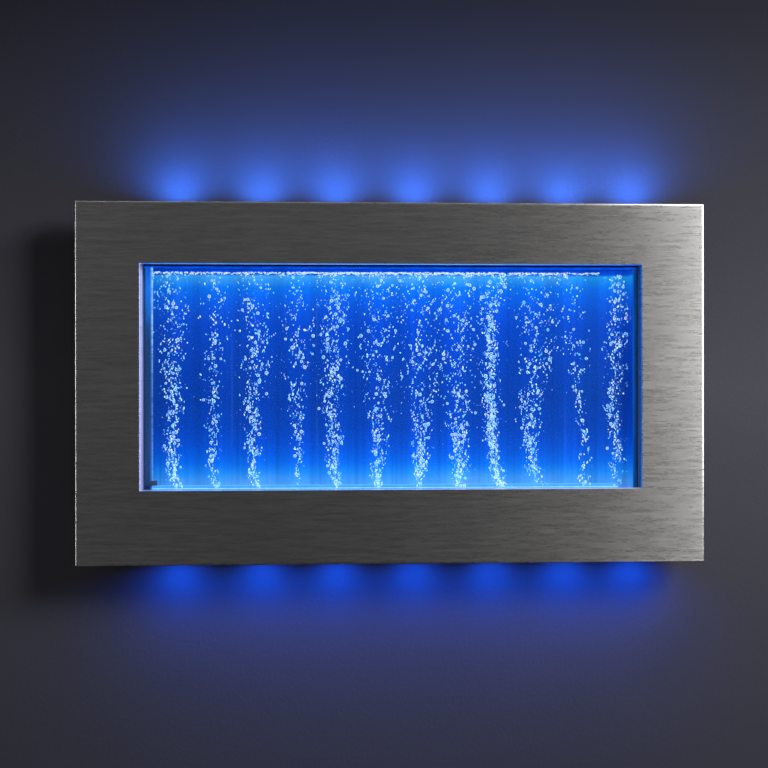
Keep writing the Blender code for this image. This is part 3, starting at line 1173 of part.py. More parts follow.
def build_magnets(looks):
    """Magnet strips behind the tray's side flanges, which hold the frame on."""
    made = []
    back = TRAY_FRONT + TRAY_SHEET + FIT
    for name, side in (("magnet_strip_left", -1), ("magnet_strip_right", 1)):
        left, right = side * SIDE_X - MAGNET_WIDTH / 2, side * SIDE_X + MAGNET_WIDTH / 2
        low, high = FRAME_MIDDLE - MAGNET_LENGTH / 2, FRAME_MIDDLE + MAGNET_LENGTH / 2
        made.append(block(name, (left, back, low), (right, back + MAGNET_THICKNESS, high), looks["iron"]))
    return made


def build_front_frame(looks):
    """The brushed face: one sheet folded back round its outside and round the window."""
    xs = (-FRAME_WIDTH / 2, -WINDOW_HALF, WINDOW_HALF, FRAME_WIDTH / 2)
    zs = (FRAME_BOTTOM, WINDOW_BOTTOM, WINDOW_TOP, FRAME_TOP)
    cells = len(xs) - 1
    bm = bmesh.new()
    bmesh.ops.create_grid(bm, x_segments=cells, y_segments=cells, size=1.0)
    for vert in bm.verts:
        column, row = (round((along + 1.0) / 2 * cells) for along in vert.co.xy)
        vert.co = (xs[column], FACE_FRONT, zs[row])
    rim = [edge for edge in bm.edges if edge.is_boundary]
    middle = [face for face in bm.faces if not any(edge in rim for edge in face.edges)]
    bmesh.ops.delete(bm, geom=middle, context="FACES_ONLY")
    window = [edge for edge in bm.edges if edge.is_boundary and edge not in rim]
    for edges, depth in ((rim, FRAME_OUTER_RETURN), (window, FRAME_INNER_RETURN)):
        grown = bmesh.ops.extrude_edge_only(bm, edges=edges)["geom"]
        verts = [item for item in grown if isinstance(item, bmesh.types.BMVert)]
        bmesh.ops.translate(bm, vec=(0.0, depth, 0.0), verts=verts)
    bmesh.ops.recalc_face_normals(bm, faces=bm.faces)
    frame = place_mesh("front_frame", bm, (0.0, FACE_FRONT, FRAME_MIDDLE), looks["steel"])
    round_edges(frame, FOLD_RADIUS)
    thicken(frame, FRAME_SHEET)
    return frame


def build_frame_fittings(looks):
    """Stiffeners with hanging pins, and the seal round the window."""
    made = []
    web = TRAY_FRONT - FIT
    half = STIFFENER_WIDTH / 2
    for name, side in (("frame_stiffener_left", -1), ("frame_stiffener_right", 1)):
        x = side * SIDE_X
        leg = half - STIFFENER_SHEET
        face = FACE_BACK + FIT
        inside = web - STIFFENER_SHEET
        loop = [(x - half, web), (x + half, web), (x + half, face), (x + leg, face), (x + leg, inside),
                (x - leg, inside), (x - leg, face), (x - half, face)]
        low, high = FRAME_MIDDLE - STIFFENER_LENGTH / 2, FRAME_MIDDLE + STIFFENER_LENGTH / 2
        channel = outline(name, [loop], "Z", low, high, looks["plate"])
        runs = []
        for level in (-1, 1):
            z = FRAME_MIDDLE + level * PIN_HEIGHT
            runs.append(((x, web - STIFFENER_SHEET / 2, z), (x, web + PIN_LENGTH, z)))
        join(channel, rods(name + "_pins", runs, PIN_RADIUS, looks["plate"]))
        made.append(channel)
    reach = WINDOW_HALF + SEAL_WIDTH
    loops = [rectangle(-reach, reach, WINDOW_BOTTOM - SEAL_WIDTH, WINDOW_TOP + SEAL_WIDTH),
             rectangle(-WINDOW_HALF, WINDOW_HALF, WINDOW_BOTTOM, WINDOW_TOP)]
    made.append(outline("window_seal", loops, "Y", SEAL_FRONT, SEAL_BACK, looks["rubber"]))
    return made


def main():
    clear_scene()
    looks = make_finishes()
    wall = carrier("wall_side", (0.0, 0.0, 0.0))
    panel = carrier("panel_lift", (0.0, 0.0, HOOK_TOP), wall)
    face = carrier("frame_pull", (0.0, TRAY_FRONT, FRAME_MIDDLE), panel)
    pivot = carrier("arm_pivot", (PIVOT_X, PUMP_Y, PIVOT_Z), panel)
    for piece in build_wall_cleat(looks):
        hang(piece, wall)
    fixed = [*build_hanging_clip(looks), *build_tray(looks), *build_spacers(looks), *build_tank(looks),
             *build_manifold(looks), *build_elbow(looks), *build_check_valve(looks),
             *build_light_rail(looks, "lower", TANK_LEFT, TANK_RIGHT - DRAIN_ROOM, FLOOR_BOTTOM),
             *build_light_rail(looks, "upper", TANK_LEFT, TANK_RIGHT - FILLER_ROOM, LID_TOP),
             *build_brackets(looks), *build_halo(looks, "upper"), *build_halo(looks, "lower"),
             *build_pump(looks), *build_air_valve(looks, panel), *build_hoses(looks),
             *build_electrics(looks, panel), *build_drain(looks, panel), *build_filler(looks, panel),
             *build_leads(looks), *build_magnets(looks)]
    for piece in fixed:
        hang(piece, panel)
    build_pump_arm(looks, pivot)
    for piece in (build_front_frame(looks), *build_frame_fittings(looks)):
        hang(piece, face)
    bpy.context.view_layer.update()


main()
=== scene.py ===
import math
import random

import bpy
from mathutils import Matrix, Vector


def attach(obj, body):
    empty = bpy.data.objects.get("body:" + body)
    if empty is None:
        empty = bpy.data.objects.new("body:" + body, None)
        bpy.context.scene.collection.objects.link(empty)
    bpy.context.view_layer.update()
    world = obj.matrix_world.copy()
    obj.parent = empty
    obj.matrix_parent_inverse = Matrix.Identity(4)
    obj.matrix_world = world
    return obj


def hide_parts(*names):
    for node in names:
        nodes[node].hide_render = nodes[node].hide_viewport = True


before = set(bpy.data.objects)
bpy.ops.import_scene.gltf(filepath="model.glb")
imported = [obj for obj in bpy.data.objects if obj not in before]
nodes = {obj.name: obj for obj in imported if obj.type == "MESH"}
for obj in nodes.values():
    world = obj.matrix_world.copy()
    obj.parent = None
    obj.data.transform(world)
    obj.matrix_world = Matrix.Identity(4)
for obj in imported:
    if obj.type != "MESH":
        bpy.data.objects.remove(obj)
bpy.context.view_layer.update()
print("frame loaded:", len(nodes), "nodes")


# Helpers for node trees

def fillSockets(tree, node, sockets):
    for key, value in sockets.items():
        if isinstance(value, bpy.types.NodeSocket):
            tree.links.new(value, node.inputs[key])
        else:
            node.inputs[key].default_value = value


def addNode(tree, kind, sockets=None, **settings):
    node = tree.nodes.new("ShaderNode" + kind)
    for key, value in settings.items():
        setattr(node, key, value)
    fillSockets(tree, node, sockets or {})
    return node


def startMaterial(name, sampling="AUTO"):
    material = bpy.data.materials.new(name)
    material.use_nodes = True
    material.cycles.emission_sampling = sampling
    return material, material.node_tree, material.node_tree.nodes["Principled BSDF"]


def objectPlace(tree, stretch=(1.0, 1.0, 1.0)):
    place = addNode(tree, "TexCoord").outputs["Object"]
    return addNode(tree, "Mapping", {"Vector": place, "Scale": stretch}).outputs[0]


def axisOf(tree, vector, axis):
    return addNode(tree, "SeparateXYZ", {0: vector}).outputs["XYZ".index(axis)]


def noiseOver(tree, vector, detail, roughness):
    sockets = {"Vector": vector, "Scale": 1.0, "Detail": detail, "Roughness": roughness}
    return addNode(tree, "TexNoise", sockets).outputs["Fac"]


def cloud(tree, stretch, detail=2.0, roughness=0.5):  # soft noise, stretch is in cells per metre
    return noiseOver(tree, objectPlace(tree, stretch), detail, roughness)


def gradient(tree, factor, stops):  # each stop is a place, then red, green and blue
    node = addNode(tree, "ValToRGB", {0: factor})
    elements = node.color_ramp.elements
    for element, (place, *colour) in ((elements[0], stops[0]), (elements[1], stops[-1])):
        element.position = place
        element.color = (*colour, 1.0)
    for place, *colour in stops[1:-1]:
        elements.new(place).color = (*colour, 1.0)
    return node.outputs[0]


def profileOf(tree, share, stops):  # a gradient of plain levels
    return gradient(tree, share, [(place, level, level, level) for place, level in stops])


def remap(tree, value, fromLow, fromHigh, toLow, toHigh, **settings):
    return addNode(tree, "MapRange", {"Value": value, "From Min": fromLow, "From Max": fromHigh,
                                      "To Min": toLow, "To Max": toHigh}, **settings).outputs[0]


def combine(tree, operation, first, second=0.0):
    return addNode(tree, "Math", {0: first, 1: second}, operation=operation).outputs[0]


def product(tree, first, *others):
    for other in others:
        first = combine(tree, "MULTIPLY", first, other)
    return first


def blendColours(tree, factor, first, second, mode="MIX"):
    node = addNode(tree, "Mix", {0: factor}, data_type="RGBA", blend_type=mode)
    for index, colour in ((6, first), (7, second)):
        linked = isinstance(colour, bpy.types.NodeSocket)
        fillSockets(tree, node, {index: colour if linked else (*colour, 1.0)})
    return node.outputs[2]


def shadedGlow(tree, glow, gain):
    grey = addNode(tree, "CombineColor", {0: gain, 1: gain, 2: gain}).outputs[0]
    return blendColours(tree, 1.0, glow, grey, "MULTIPLY")


def bumpFrom(tree, height, strength, distance):
    return addNode(tree, "Bump", {"Height": height, "Strength": strength, "Distance": distance}).outputs[0]


# Finishes

def grainedFinish(name, look):  # paint, plastic, rubber and plain metal: fine grain over slow shading
    material, tree, shader = startMaterial(name)
    grain = cloud(tree, [look["grain"] * share for share in look.get("stretch", (1.0, 1.0, 1.0))], 3.0, 0.6)
    broad = cloud(tree, (look.get("patch", 14.0),) * 3, 2.0)
    dark = [channel * look["shade"] for channel in look["colour"]]
    worn = blendColours(tree, remap(tree, broad, 0.35, 0.7, 0.0, 0.5), look["colour"], dark)
    fillSockets(tree, shader, {
        "Base Color": blendColours(tree, remap(tree, grain, 0.35, 0.65, 0.0, 0.6), worn, dark),
        "Roughness": remap(tree, grain, 0.3, 0.7, *look["roughness"]),
        "Metallic": look.get("metallic", 0.0),
        "Normal": bumpFrom(tree, grain, *look["bump"]),
    })
    return material


plainLooks = {
    "zincPlate": {"colour": (0.60, 0.61, 0.62), "shade": 0.72, "grain": 260.0, "roughness": (0.32, 0.48),
                  "metallic": 1.0, "bump": (0.05, 0.0004), "patch": 40.0},
    "blackPaint": {"colour": (0.036, 0.037, 0.041), "shade": 0.75, "grain": 900.0,
                   "roughness": (0.42, 0.56), "bump": (0.18, 0.0003)},
    "castAlloy": {"colour": (0.62, 0.63, 0.65), "shade": 0.8, "grain": 500.0, "stretch": (0.04, 1.0, 1.0),
                  "roughness": (0.3, 0.42), "metallic": 1.0, "bump": (0.06, 0.0003)},
    "whiteBoard": {"colour": (0.82, 0.85, 0.84), "shade": 0.9, "grain": 700.0, "roughness": (0.35, 0.45),
                   "bump": (0.05, 0.0002)},
    "blackRubber": {"colour": (0.021, 0.021, 0.023), "shade": 0.7, "grain": 1100.0,
                    "roughness": (0.7, 0.85), "bump": (0.15, 0.0002)},
    "blackPlastic": {"colour": (0.024, 0.025, 0.028), "shade": 0.75, "grain": 1400.0,
                     "roughness": (0.42, 0.55), "bump": (0.2, 0.0002)},
    "greyPlastic": {"colour": (0.30, 0.31, 0.33), "shade": 0.85, "grain": 1400.0, "roughness": (0.4, 0.52),
                    "bump": (0.15, 0.0002)},
    "bluePlastic": {"colour": (0.02, 0.11, 0.42), "shade": 0.8, "grain": 1200.0, "roughness": (0.32, 0.45),
                    "bump": (0.12, 0.0002)},
    "brass": {"colour": (0.78, 0.58, 0.26), "shade": 0.78, "grain": 420.0, "roughness": (0.22, 0.36),
              "metallic": 1.0, "bump": (0.05, 0.0002)},
    "coreIron": {"colour": (0.24, 0.25, 0.27), "shade": 0.6, "grain": 1500.0, "stretch": (0.05, 1.0, 0.05),
                 "roughness": (0.38, 0.6), "metallic": 0.9, "bump": (0.35, 0.0003)},
    "siliconeHose": {"colour": (0.72, 0.77, 0.82), "shade": 0.85, "grain": 160.0, "roughness": (0.3, 0.4),
                     "bump": (0.05, 0.0003)},
    "copperWinding": {"colour": (0.72, 0.30, 0.13), "shade": 0.45, "grain": 2200.0,
                      "stretch": (0.02, 0.02, 1.0), "roughness": (0.25, 0.4), "metallic": 1.0,
                      "bump": (0.6, 0.0004)},
}
finishes = {name: grainedFinish(name, look) for name, look in plainLooks.items()}


def windowReturnGlow(tree, look):  # painted light: the tank's light painted as a glow on the sheet where it folds back round the window
    place = objectPlace(tree)
    x, y, z = (axisOf(tree, place, axis) for axis in "XYZ")
    behind = remap(tree, y, look["face"], look["face"] + look["soft"], 0.0, 1.0)
    depth = remap(tree, y, look["face"], look["edge"], 0.0, 1.0)
    across = remap(tree, x, -look["half"], look["half"], 0.0, 1.0)
    sides = blendColours(tree, combine(tree, "GREATER_THAN", x, 0.0), gradient(tree, depth, look["left"]),
                         gradient(tree, depth, look["right"]))
    level = blendColours(tree, combine(tree, "GREATER_THAN", z, look["middle"]),
                         gradient(tree, across, look["low"]), gradient(tree, across, look["high"]))
    away = combine(tree, "ABSOLUTE", x)
    tall = combine(tree, "ABSOLUTE", combine(tree, "SUBTRACT", z, look["middle"]))
    beside = combine(tree, "GREATER_THAN", away, look["half"] - look["soft"])
    outside = combine(tree, "GREATER_THAN", away, look["half"] + look["soft"] * 4)
    over = combine(tree, "GREATER_THAN", tall, look["tall"] + look["soft"] * 4)
    inside = combine(tree, "SUBTRACT", 1.0, combine(tree, "MAXIMUM", outside, over))
    return blendColours(tree, beside, level, sides), product(tree, behind, inside)


def foldedStreaks(tree, stretch, detail, roughness):  # the streaks lie along X on the top and foot as well
    place = objectPlace(tree, stretch)
    slope = combine(tree, "ABSOLUTE", axisOf(tree, addNode(tree, "NewGeometry").outputs["Normal"], "Z"))
    gain = remap(tree, slope, 0.6, 0.8, 1.0, stretch[2] / stretch[1])
    across = product(tree, axisOf(tree, place, "Y"), gain)
    sockets = {0: axisOf(tree, place, "X"), 1: across, 2: axisOf(tree, place, "Z")}
    return noiseOver(tree, addNode(tree, "CombineXYZ", sockets).outputs[0], detail, roughness)


def brushedFinish(name, look):  # sheet steel brushed along X, with the tank's light painted as glow on its window returns
    material, tree, shader = startMaterial(name, "NONE")
    fine = foldedStreaks(tree, look["fineStreaks"], 3.0, 0.65)
    wide = foldedStreaks(tree, look["wideStreaks"], 2.0, 0.5)
    streaks = combine(tree, "ADD", product(tree, fine, 0.7), product(tree, wide, 0.3))
    dark = [channel * look["shade"] for channel in look["colour"]]
    stain = remap(tree, cloud(tree, look["stains"], 2.0, 0.5), 0.35, 0.7, 0.0, look["stainDepth"])
    stained = blendColours(tree, stain, look["colour"], dark)
    glowColour, glow = windowReturnGlow(tree, look["windowGlow"])
    fillSockets(tree, shader, {
        "Base Color": blendColours(tree, remap(tree, streaks, 0.31, 0.66, 0.0, 1.0), dark, stained),
        "Roughness": remap(tree, streaks, 0.35, 0.65, *look["roughness"]),
        "Metallic": 1.0,
        "Anisotropic": look["anisotropy"],
        "Tangent": addNode(tree, "CombineXYZ", {0: 0.0, 1: 0.0, 2: 1.0}).outputs[0],
        "Emission Color": glowColour, "Emission Strength": glow,
        "Normal": bumpFrom(tree, streaks, *look["bump"]),
    })
    return material


finishes["brushedSteel"] = brushedFinish("brushedSteel", {
    "colour": (0.64, 0.625, 0.605), "shade": 0.74, "roughness": (0.262, 0.292), "anisotropy": 0.7,
    "fineStreaks": (27.0, 27.0, 440.0), "wideStreaks": (8.0, 8.0, 150.0), "stains": (3.0, 3.0, 5.0),
    "stainDepth": 0.3, "bump": (0.06, 0.0003),
    # The light painted on the window returns, by side, depth and level; paler on the left, which faces the
    # key lamp
    "windowGlow": {
        "face": -0.0938, "edge": -0.0730, "soft": 0.0008, "half": 0.4065, "middle": -0.18025,
        "tall": 0.18225,
        "left": [(0.0, 0.22, 0.23, 0.40), (0.5, 0.30, 0.32, 0.60), (1.0, 0.30, 0.33, 0.66)],
        "right": [(0.0, 0.05, 0.05, 0.09), (0.12, 0.04, 0.06, 0.16), (0.24, 0.025, 0.14, 0.46),
                  (0.36, 0.004, 0.06, 0.24), (0.55, 0.0, 0.012, 0.06), (1.0, 0.0, 0.010, 0.05)],
        "low": [(0.0, 0.07, 0.22, 0.66), (0.45, 0.10, 0.24, 0.62), (0.7, 0.24, 0.26, 0.42),
                (1.0, 0.40, 0.35, 0.37)],
        "high": [(0.0, 0.0, 0.10, 0.60), (0.25, 0.0, 0.18, 0.76), (0.6, 0.0, 0.20, 0.80),
                 (1.0, 0.0, 0.08, 0.62)],
    },
})

# The lit water, its light painted as glow: azure where the two light rails shine in, royal blue half-way
waterLook = {
    "low": -0.3635, "high": -0.0005, "left": -0.3925, "right": 0.3955,
    "streaks": (150.0, 1.0, 2.2), "streakGain": (0.35, 0.72, 0.90, 1.16),
    "fineStreaks": (620.0, 1.0, 40.0), "fineGain": (0.3, 0.7, 0.96, 1.05),
    "patches": (26.0, 1.0, 40.0), "patchGain": (0.30, 0.72, 0.15, 1.0),
    "stops": [(0.0, 0.080, 0.352, 0.97), (0.036, 0.045, 0.314, 0.96), (0.068, 0.010, 0.250, 0.95),
              (0.114, 0.001, 0.138, 0.855), (0.159, 0.0, 0.089, 0.716), (0.205, 0.0, 0.061, 0.597),
              (0.273, 0.0, 0.041, 0.456), (0.40, 0.0, 0.031, 0.376), (0.546, 0.0, 0.033, 0.410),
              (0.728, 0.0, 0.045, 0.527), (0.796, 0.001, 0.065, 0.631), (0.864, 0.001, 0.107, 0.791),
              (0.91, 0.001, 0.165, 0.871), (0.940, 0.004, 0.260, 0.91), (0.962, 0.012, 0.350, 0.93),
              (0.970, 0.002, 0.090, 0.76), (0.985, 0.001, 0.058, 0.66), (1.0, 0.0, 0.030, 0.38)],
    "spread": [(0.0, 0.80), (0.10, 0.92), (0.35, 1.0), (0.58, 1.08), (0.64, 1.16), (0.72, 1.0),
               (0.90, 0.92), (1.0, 0.78)],
    # A paler haze of painted light near the floor, under the surface and along a few lines
    "haze": (0.15, 0.46, 1.0), "footHeight": 0.036, "footLight": 0.75,
    "crest": -0.0118, "crestHeight": 0.024, "crestLight": 0.8,
    "footHaze": [(0.0, 0.0), (0.10, 0.15), (0.20, 0.75), (0.27, 0.5), (0.33, 0.1), (0.58, 0.2), (0.66, 1.0),
                 (0.76, 0.35), (0.85, 0.55), (0.92, 0.05), (1.0, 0.0)],
    "crestHaze": [(0.0, 0.1), (0.08, 0.5), (0.22, 0.6), (0.30, 0.25), (0.40, 0.75), (0.66, 0.8),
                  (0.74, 0.2), (0.84, 0.55), (0.92, 0.05), (1.0, 0.0)],
    "glowLines": [-0.2617, -0.1221, 0.0167, 0.1147, 0.2902], "glowLineWidth": 0.0012, "glowLineLight": 0.10,
    "glowLineBreakup": (7.0, 7.0, 7.0), "columnX": -0.3475, "columnPitch": 0.065, "columnLight": (0.88, 1.17),
}


# The lit water's light painted as an emission colour, by height, across, in streaks and beside the bubble
# columns
def waterGlow(tree, look):
    place = objectPlace(tree)
    x, z = axisOf(tree, place, "X"), axisOf(tree, place, "Z")
    colour = gradient(tree, remap(tree, z, look["low"], look["high"], 0.0, 1.0), look["stops"])
    across = remap(tree, x, look["left"], look["right"], 0.0, 1.0)
    streak = remap(tree, cloud(tree, look["streaks"], 2.0, 0.5), *look["streakGain"])
    fine = remap(tree, cloud(tree, look["fineStreaks"], 1.0, 0.5), *look["fineGain"])
    turn = product(tree, combine(tree, "SUBTRACT", x, look["columnX"]), 2.0 * math.pi / look["columnPitch"])
    beside = remap(tree, combine(tree, "COSINE", turn), -1.0, 1.0, *look["columnLight"])
    gain = product(tree, streak, fine, profileOf(tree, across, look["spread"]), beside)
    lit = shadedGlow(tree, colour, gain)
    patch = remap(tree, cloud(tree, look["patches"], 3.0, 0.55), *look["patchGain"])
    foot = remap(tree, z, look["low"], look["low"] + look["footHeight"], look["footLight"], 0.0,
                 interpolation_type="SMOOTHSTEP")
    foot = product(tree, foot, profileOf(tree, across, look["footHaze"]))
    crest = remap(tree, z, look["crest"] - look["crestHeight"], look["crest"], 0.0, look["crestLight"],
                  interpolation_type="SMOOTHSTEP")
    crest = product(tree, crest, combine(tree, "LESS_THAN", z, look["crest"]),
                    profileOf(tree, across, look["crestHaze"]))
    lit = blendColours(tree, product(tree, patch, combine(tree, "ADD", foot, crest)), lit, look["haze"])
    # Painted bright lines of paler glow at the listed places, broken up by noise
    broken = remap(tree, cloud(tree, look["glowLineBreakup"], 1.0), 0.40, 0.60, 0.0, 1.0)
    for glowLine in look["glowLines"]:
        away = combine(tree, "ABSOLUTE", combine(tree, "SUBTRACT", x, glowLine))
        near = remap(tree, away, 0.0, look["glowLineWidth"], look["glowLineLight"], 0.0)
        lit = blendColours(tree, product(tree, near, broken), lit, look["haze"])
    return lit


def edgeLine(tree, look):  # a painted highlight: the bright line along the water's left end, beaded and fading downwards
    place = objectPlace(tree)
    near = remap(tree, axisOf(tree, place, "X"), look["start"] + look["width"] * 0.6,
                 look["start"] + look["width"], 1.0, 0.0)
    beads = remap(tree, cloud(tree, look["beads"], 2.0, 0.6), 0.40, 0.55, 0.35, 1.0)
    fade = remap(tree, axisOf(tree, place, "Z"), look["low"], look["high"], 0.3, 1.0)
    return product(tree, near, product(tree, beads, fade))


# A dark pane or board with the lit water's light painted on it as glow
def waterFinish(name, look):
    material, tree, shader = startMaterial(name, "NONE")
    glow = waterGlow(tree, waterLook)
    if "line" in look:
        glow = blendColours(tree, edgeLine(tree, look["line"]), glow, look["line"]["colour"])
    fillSockets(tree, shader, {
        "Base Color": look["colour"], "Roughness": look["roughness"], "Specular IOR Level": 0.0,
        "Emission Color": glow, "Emission Strength": look["strength"],
        "Normal": bumpFrom(tree, cloud(tree, (40.0, 40.0, 40.0)), 0.02, 0.001),
    })
    return material


finishes["litPane"] = waterFinish("litPane", {
    "strength": 1.0, "roughness": 0.3, "colour": (0.0, 0.004, 0.02, 1.0),
    "line": {"start": -0.3925, "width": 0.0024, "beads": (1.0, 1.0, 380.0), "low": -0.20, "high": -0.09,
             "colour": (0.32, 0.70, 1.0)}})
# The blue backing carries the water's painted glow too, more weakly
finishes["blueBackingPaintedGlow"] = waterFinish("blueBackingPaintedGlow", {
    "strength": 0.6, "roughness": 0.6, "colour": (0.01, 0.08, 0.5, 1.0)})


def clearFinish(name, look):
    material, tree, shader = startMaterial(name)
    facing = addNode(tree, "LayerWeight", {"Blend": 0.35}).outputs["Facing"]
    smear = cloud(tree, look["smears"], 2.0)
    fillSockets(tree, shader, {
        "Base Color": gradient(tree, smear, [(0.3, *look["colour"]), (0.7, *look["tint"])]),
        "Roughness": remap(tree, smear, 0.3, 0.7, *look["roughness"]),
        "Alpha": remap(tree, facing, 0.2, 0.95, *look["alpha"]),
        "IOR": look["ior"],
        "Normal": bumpFrom(tree, smear, 0.02, 0.0005),
    })
    return material


finishes["clearAcrylic"] = clearFinish("clearAcrylic", {
    "colour": (0.10, 0.35, 0.8), "tint": (0.06, 0.25, 0.7), "roughness": (0.03, 0.06),
    "alpha": (0.015, 0.45), "smears": (6.0, 6.0, 3.0), "ior": 1.49})
finishes["water"] = clearFinish("water", {
    "colour": (0.0, 0.06, 0.5), "tint": (0.0, 0.14, 0.7), "roughness": (0.04, 0.1),
    "alpha": (0.02, 0.3), "smears": (30.0, 30.0, 8.0), "ior": 1.33})


def endWallFinish(name, look):  # dark acrylic with painted glow: lit edges and, at the right, the water showing through
    material, tree, shader = startMaterial(name, "NONE")
    place = objectPlace(tree)
    x, y, z = (axisOf(tree, place, axis) for axis in "XYZ")
    mottle = remap(tree, cloud(tree, look["mottle"], 3.0), 0.3, 0.7, 0.75, 1.2)
    rise = gradient(tree, remap(tree, z, look["low"], look["high"], 0.0, 1.0), look["rise"])
    left = shadedGlow(tree, rise, mottle)
    left = blendColours(tree, remap(tree, x, look["outer"], look["inner"], 1.0, 0.0), left, look["seat"])
    left = blendColours(tree, combine(tree, "GREATER_THAN", y, look["back"]), left, look["rim"])
    port = product(tree, combine(tree, "LESS_THAN", z, look["portTop"]),
                   combine(tree, "GREATER_THAN", z, look["portFoot"]))
    left = blendColours(tree, port, left, look["port"])
    dry = gradient(tree, remap(tree, x, look["wetEnd"], look["end"], 0.0, 1.0), look["dry"])
    wet = combine(tree, "LESS_THAN", x, look["wetEnd"])
    right = blendColours(tree, wet, shadedGlow(tree, dry, mottle), waterGlow(tree, waterLook))
    fillSockets(tree, shader, {
        "Base Color": look["colour"], "Roughness": look["roughness"], "Specular IOR Level": 0.2,
        "Emission Color": blendColours(tree, combine(tree, "GREATER_THAN", x, 0.0), left, right),
        "Emission Strength": 1.0, "Normal": bumpFrom(tree, mottle, 0.05, 0.0004),
    })
    return material


finishes["litEnd"] = endWallFinish("litEnd", {
    "colour": (0.004, 0.010, 0.03, 1.0), "roughness": 0.2, "mottle": (300.0, 300.0, 25.0),
    "low": -0.3632, "high": -0.0023,
    "rise": [(0.0, 0.010, 0.020, 0.070), (0.09, 0.014, 0.040, 0.140), (0.41, 0.006, 0.024, 0.090),
             (0.66, 0.005, 0.026, 0.10), (0.73, 0.004, 0.045, 0.20), (0.82, 0.002, 0.12, 0.58),
             (0.90, 0.002, 0.16, 0.80), (1.0, 0.002, 0.11, 0.68)],
    # Painted glow: near-black towards the outer face, lit along the back rim, dark across the port
    "outer": -0.4018, "inner": -0.3985, "seat": (0.005, 0.008, 0.03), "back": -0.0343,
    "rim": (0.06, 0.16, 0.50), "portTop": -0.3560, "portFoot": -0.3618, "port": (0.0008, 0.001, 0.003),
    "wetEnd": 0.3985, "end": 0.4055,
    "dry": [(0.0, 0.004, 0.11, 0.66), (0.16, 0.003, 0.09, 0.55), (0.24, 0.001, 0.052, 0.26),
            (0.5, 0.001, 0.046, 0.21), (0.8, 0.001, 0.036, 0.15), (1.0, 0.001, 0.022, 0.09)]})


def litEdgeFinish(name, look):  # clear acrylic with painted glow: the light carried along it and shining at its edges
    material, tree, shader = startMaterial(name, "NONE")
    rise = remap(tree, axisOf(tree, objectPlace(tree), "Z"), look["low"], look["high"], 0.0, 1.0)
    mottle = remap(tree, cloud(tree, look["mottle"], 3.0), 0.3, 0.7, *look["mottling"])
    fillSockets(tree, shader, {
        "Base Color": look["colour"], "Roughness": look["roughness"], "Specular IOR Level": look["shine"],
        "Emission Color": shadedGlow(tree, gradient(tree, rise, look["stops"]), mottle),
        "Emission Strength": 1.0, "Normal": bumpFrom(tree, mottle, 0.05, 0.0004),
    })
    return material


# What the painted-lit and painted-shade copies of the glazing share
glazingLight = {"low": -0.3622, "high": 0.0018, "roughness": 0.3, "shine": 0.3,
                "colour": (0.05, 0.06, 0.12, 1.0), "mottle": (60.0, 60.0, 60.0), "mottling": (0.85, 1.1)}
litEdgeLooks = {
    # Painted glow on the floor and the manifold, with a painted highlight band a little above the middle
    "litFloor": {
        "low": -0.3735, "high": -0.3572, "roughness": 0.12, "shine": 0.2, "colour": (0.0, 0.05, 0.2, 1.0),
        "mottle": (90.0, 90.0, 90.0), "mottling": (0.85, 1.12),
        "stops": [(0.0, 0.0, 0.06, 0.45), (0.45, 0.0, 0.13, 0.80), (0.60, 0.01, 0.17, 0.88),
                  (0.65, 0.02, 0.22, 0.92), (0.67, 0.35, 0.80, 1.0), (0.74, 0.35, 0.80, 1.0),
                  (0.76, 0.06, 0.34, 0.97), (1.0, 0.08, 0.36, 0.98)]},
    # The copy painted lit, for the left strip that faces the key lamp
    "glazingPaintedLit": {
        **glazingLight,
        "stops": [(0.0, 0.20, 0.23, 0.50), (0.4, 0.24, 0.27, 0.56), (0.75, 0.30, 0.34, 0.64),
                  (0.97, 0.25, 0.30, 0.62), (1.0, 0.01, 0.015, 0.05)]},
    # The copy painted in shade, for the dark strip on the left and the right strip
    "glazing": {
        **glazingLight,
        "stops": [(0.0, 0.030, 0.036, 0.10), (0.4, 0.024, 0.032, 0.10), (0.75, 0.012, 0.030, 0.12),
                  (1.0, 0.004, 0.010, 0.04)]},
    # Painted blue glow on the lid's front edge, fading to none towards its top
    "lidEdge": {
        "low": -0.0022, "high": 0.0100, "roughness": 0.1, "shine": 0.4,
        "colour": (0.006, 0.008, 0.014, 1.0), "mottle": (55.0, 30.0, 700.0), "mottling": (0.35, 1.3),
        "stops": [(0.0, 0.001, 0.075, 0.66), (0.06, 0.001, 0.060, 0.58), (0.16, 0.001, 0.040, 0.42),
                  (0.20, 0.0005, 0.004, 0.03), (0.34, 0.0, 0.001, 0.006), (1.0, 0.0, 0.0, 0.0)]},
}
for name, look in litEdgeLooks.items():
    finishes[name] = litEdgeFinish(name, look)


def lampFinish(name, look):  # opal plastic over a row of lights
    material, tree, shader = startMaterial(name, look.get("sampling", "NONE"))
    grain = cloud(tree, (500.0, 500.0, 500.0), 2.0)
    fillSockets(tree, shader, {
        "Base Color": look["base"], "Roughness": 0.4,
        "Emission Color": gradient(tree, grain, [(0.3, *look["glow"]), (0.7, *look["pale"])]),
        "Emission Strength": look["strength"],
        "Normal": bumpFrom(tree, grain, 0.05, 0.0002),
    })
    return material


lampLooks = {
    "haloOpal": {"base": (0.5, 0.7, 0.95, 1.0), "glow": (0.03, 0.14, 0.9), "pale": (0.05, 0.20, 1.0),
                 "strength": 0.8},
    "haloDome": {"base": (0.5, 0.7, 0.95, 1.0), "glow": (0.030, 0.165, 1.0), "pale": (0.034, 0.18, 1.0),
                 "strength": 30.0, "sampling": "FRONT"},
    "railOpal": {"base": (0.6, 0.8, 1.0, 1.0), "glow": (0.18, 0.55, 1.0), "pale": (0.30, 0.65, 1.0),
                 "strength": 2.0},
}
for name, look in lampLooks.items():
    finishes[name] = lampFinish(name, look)

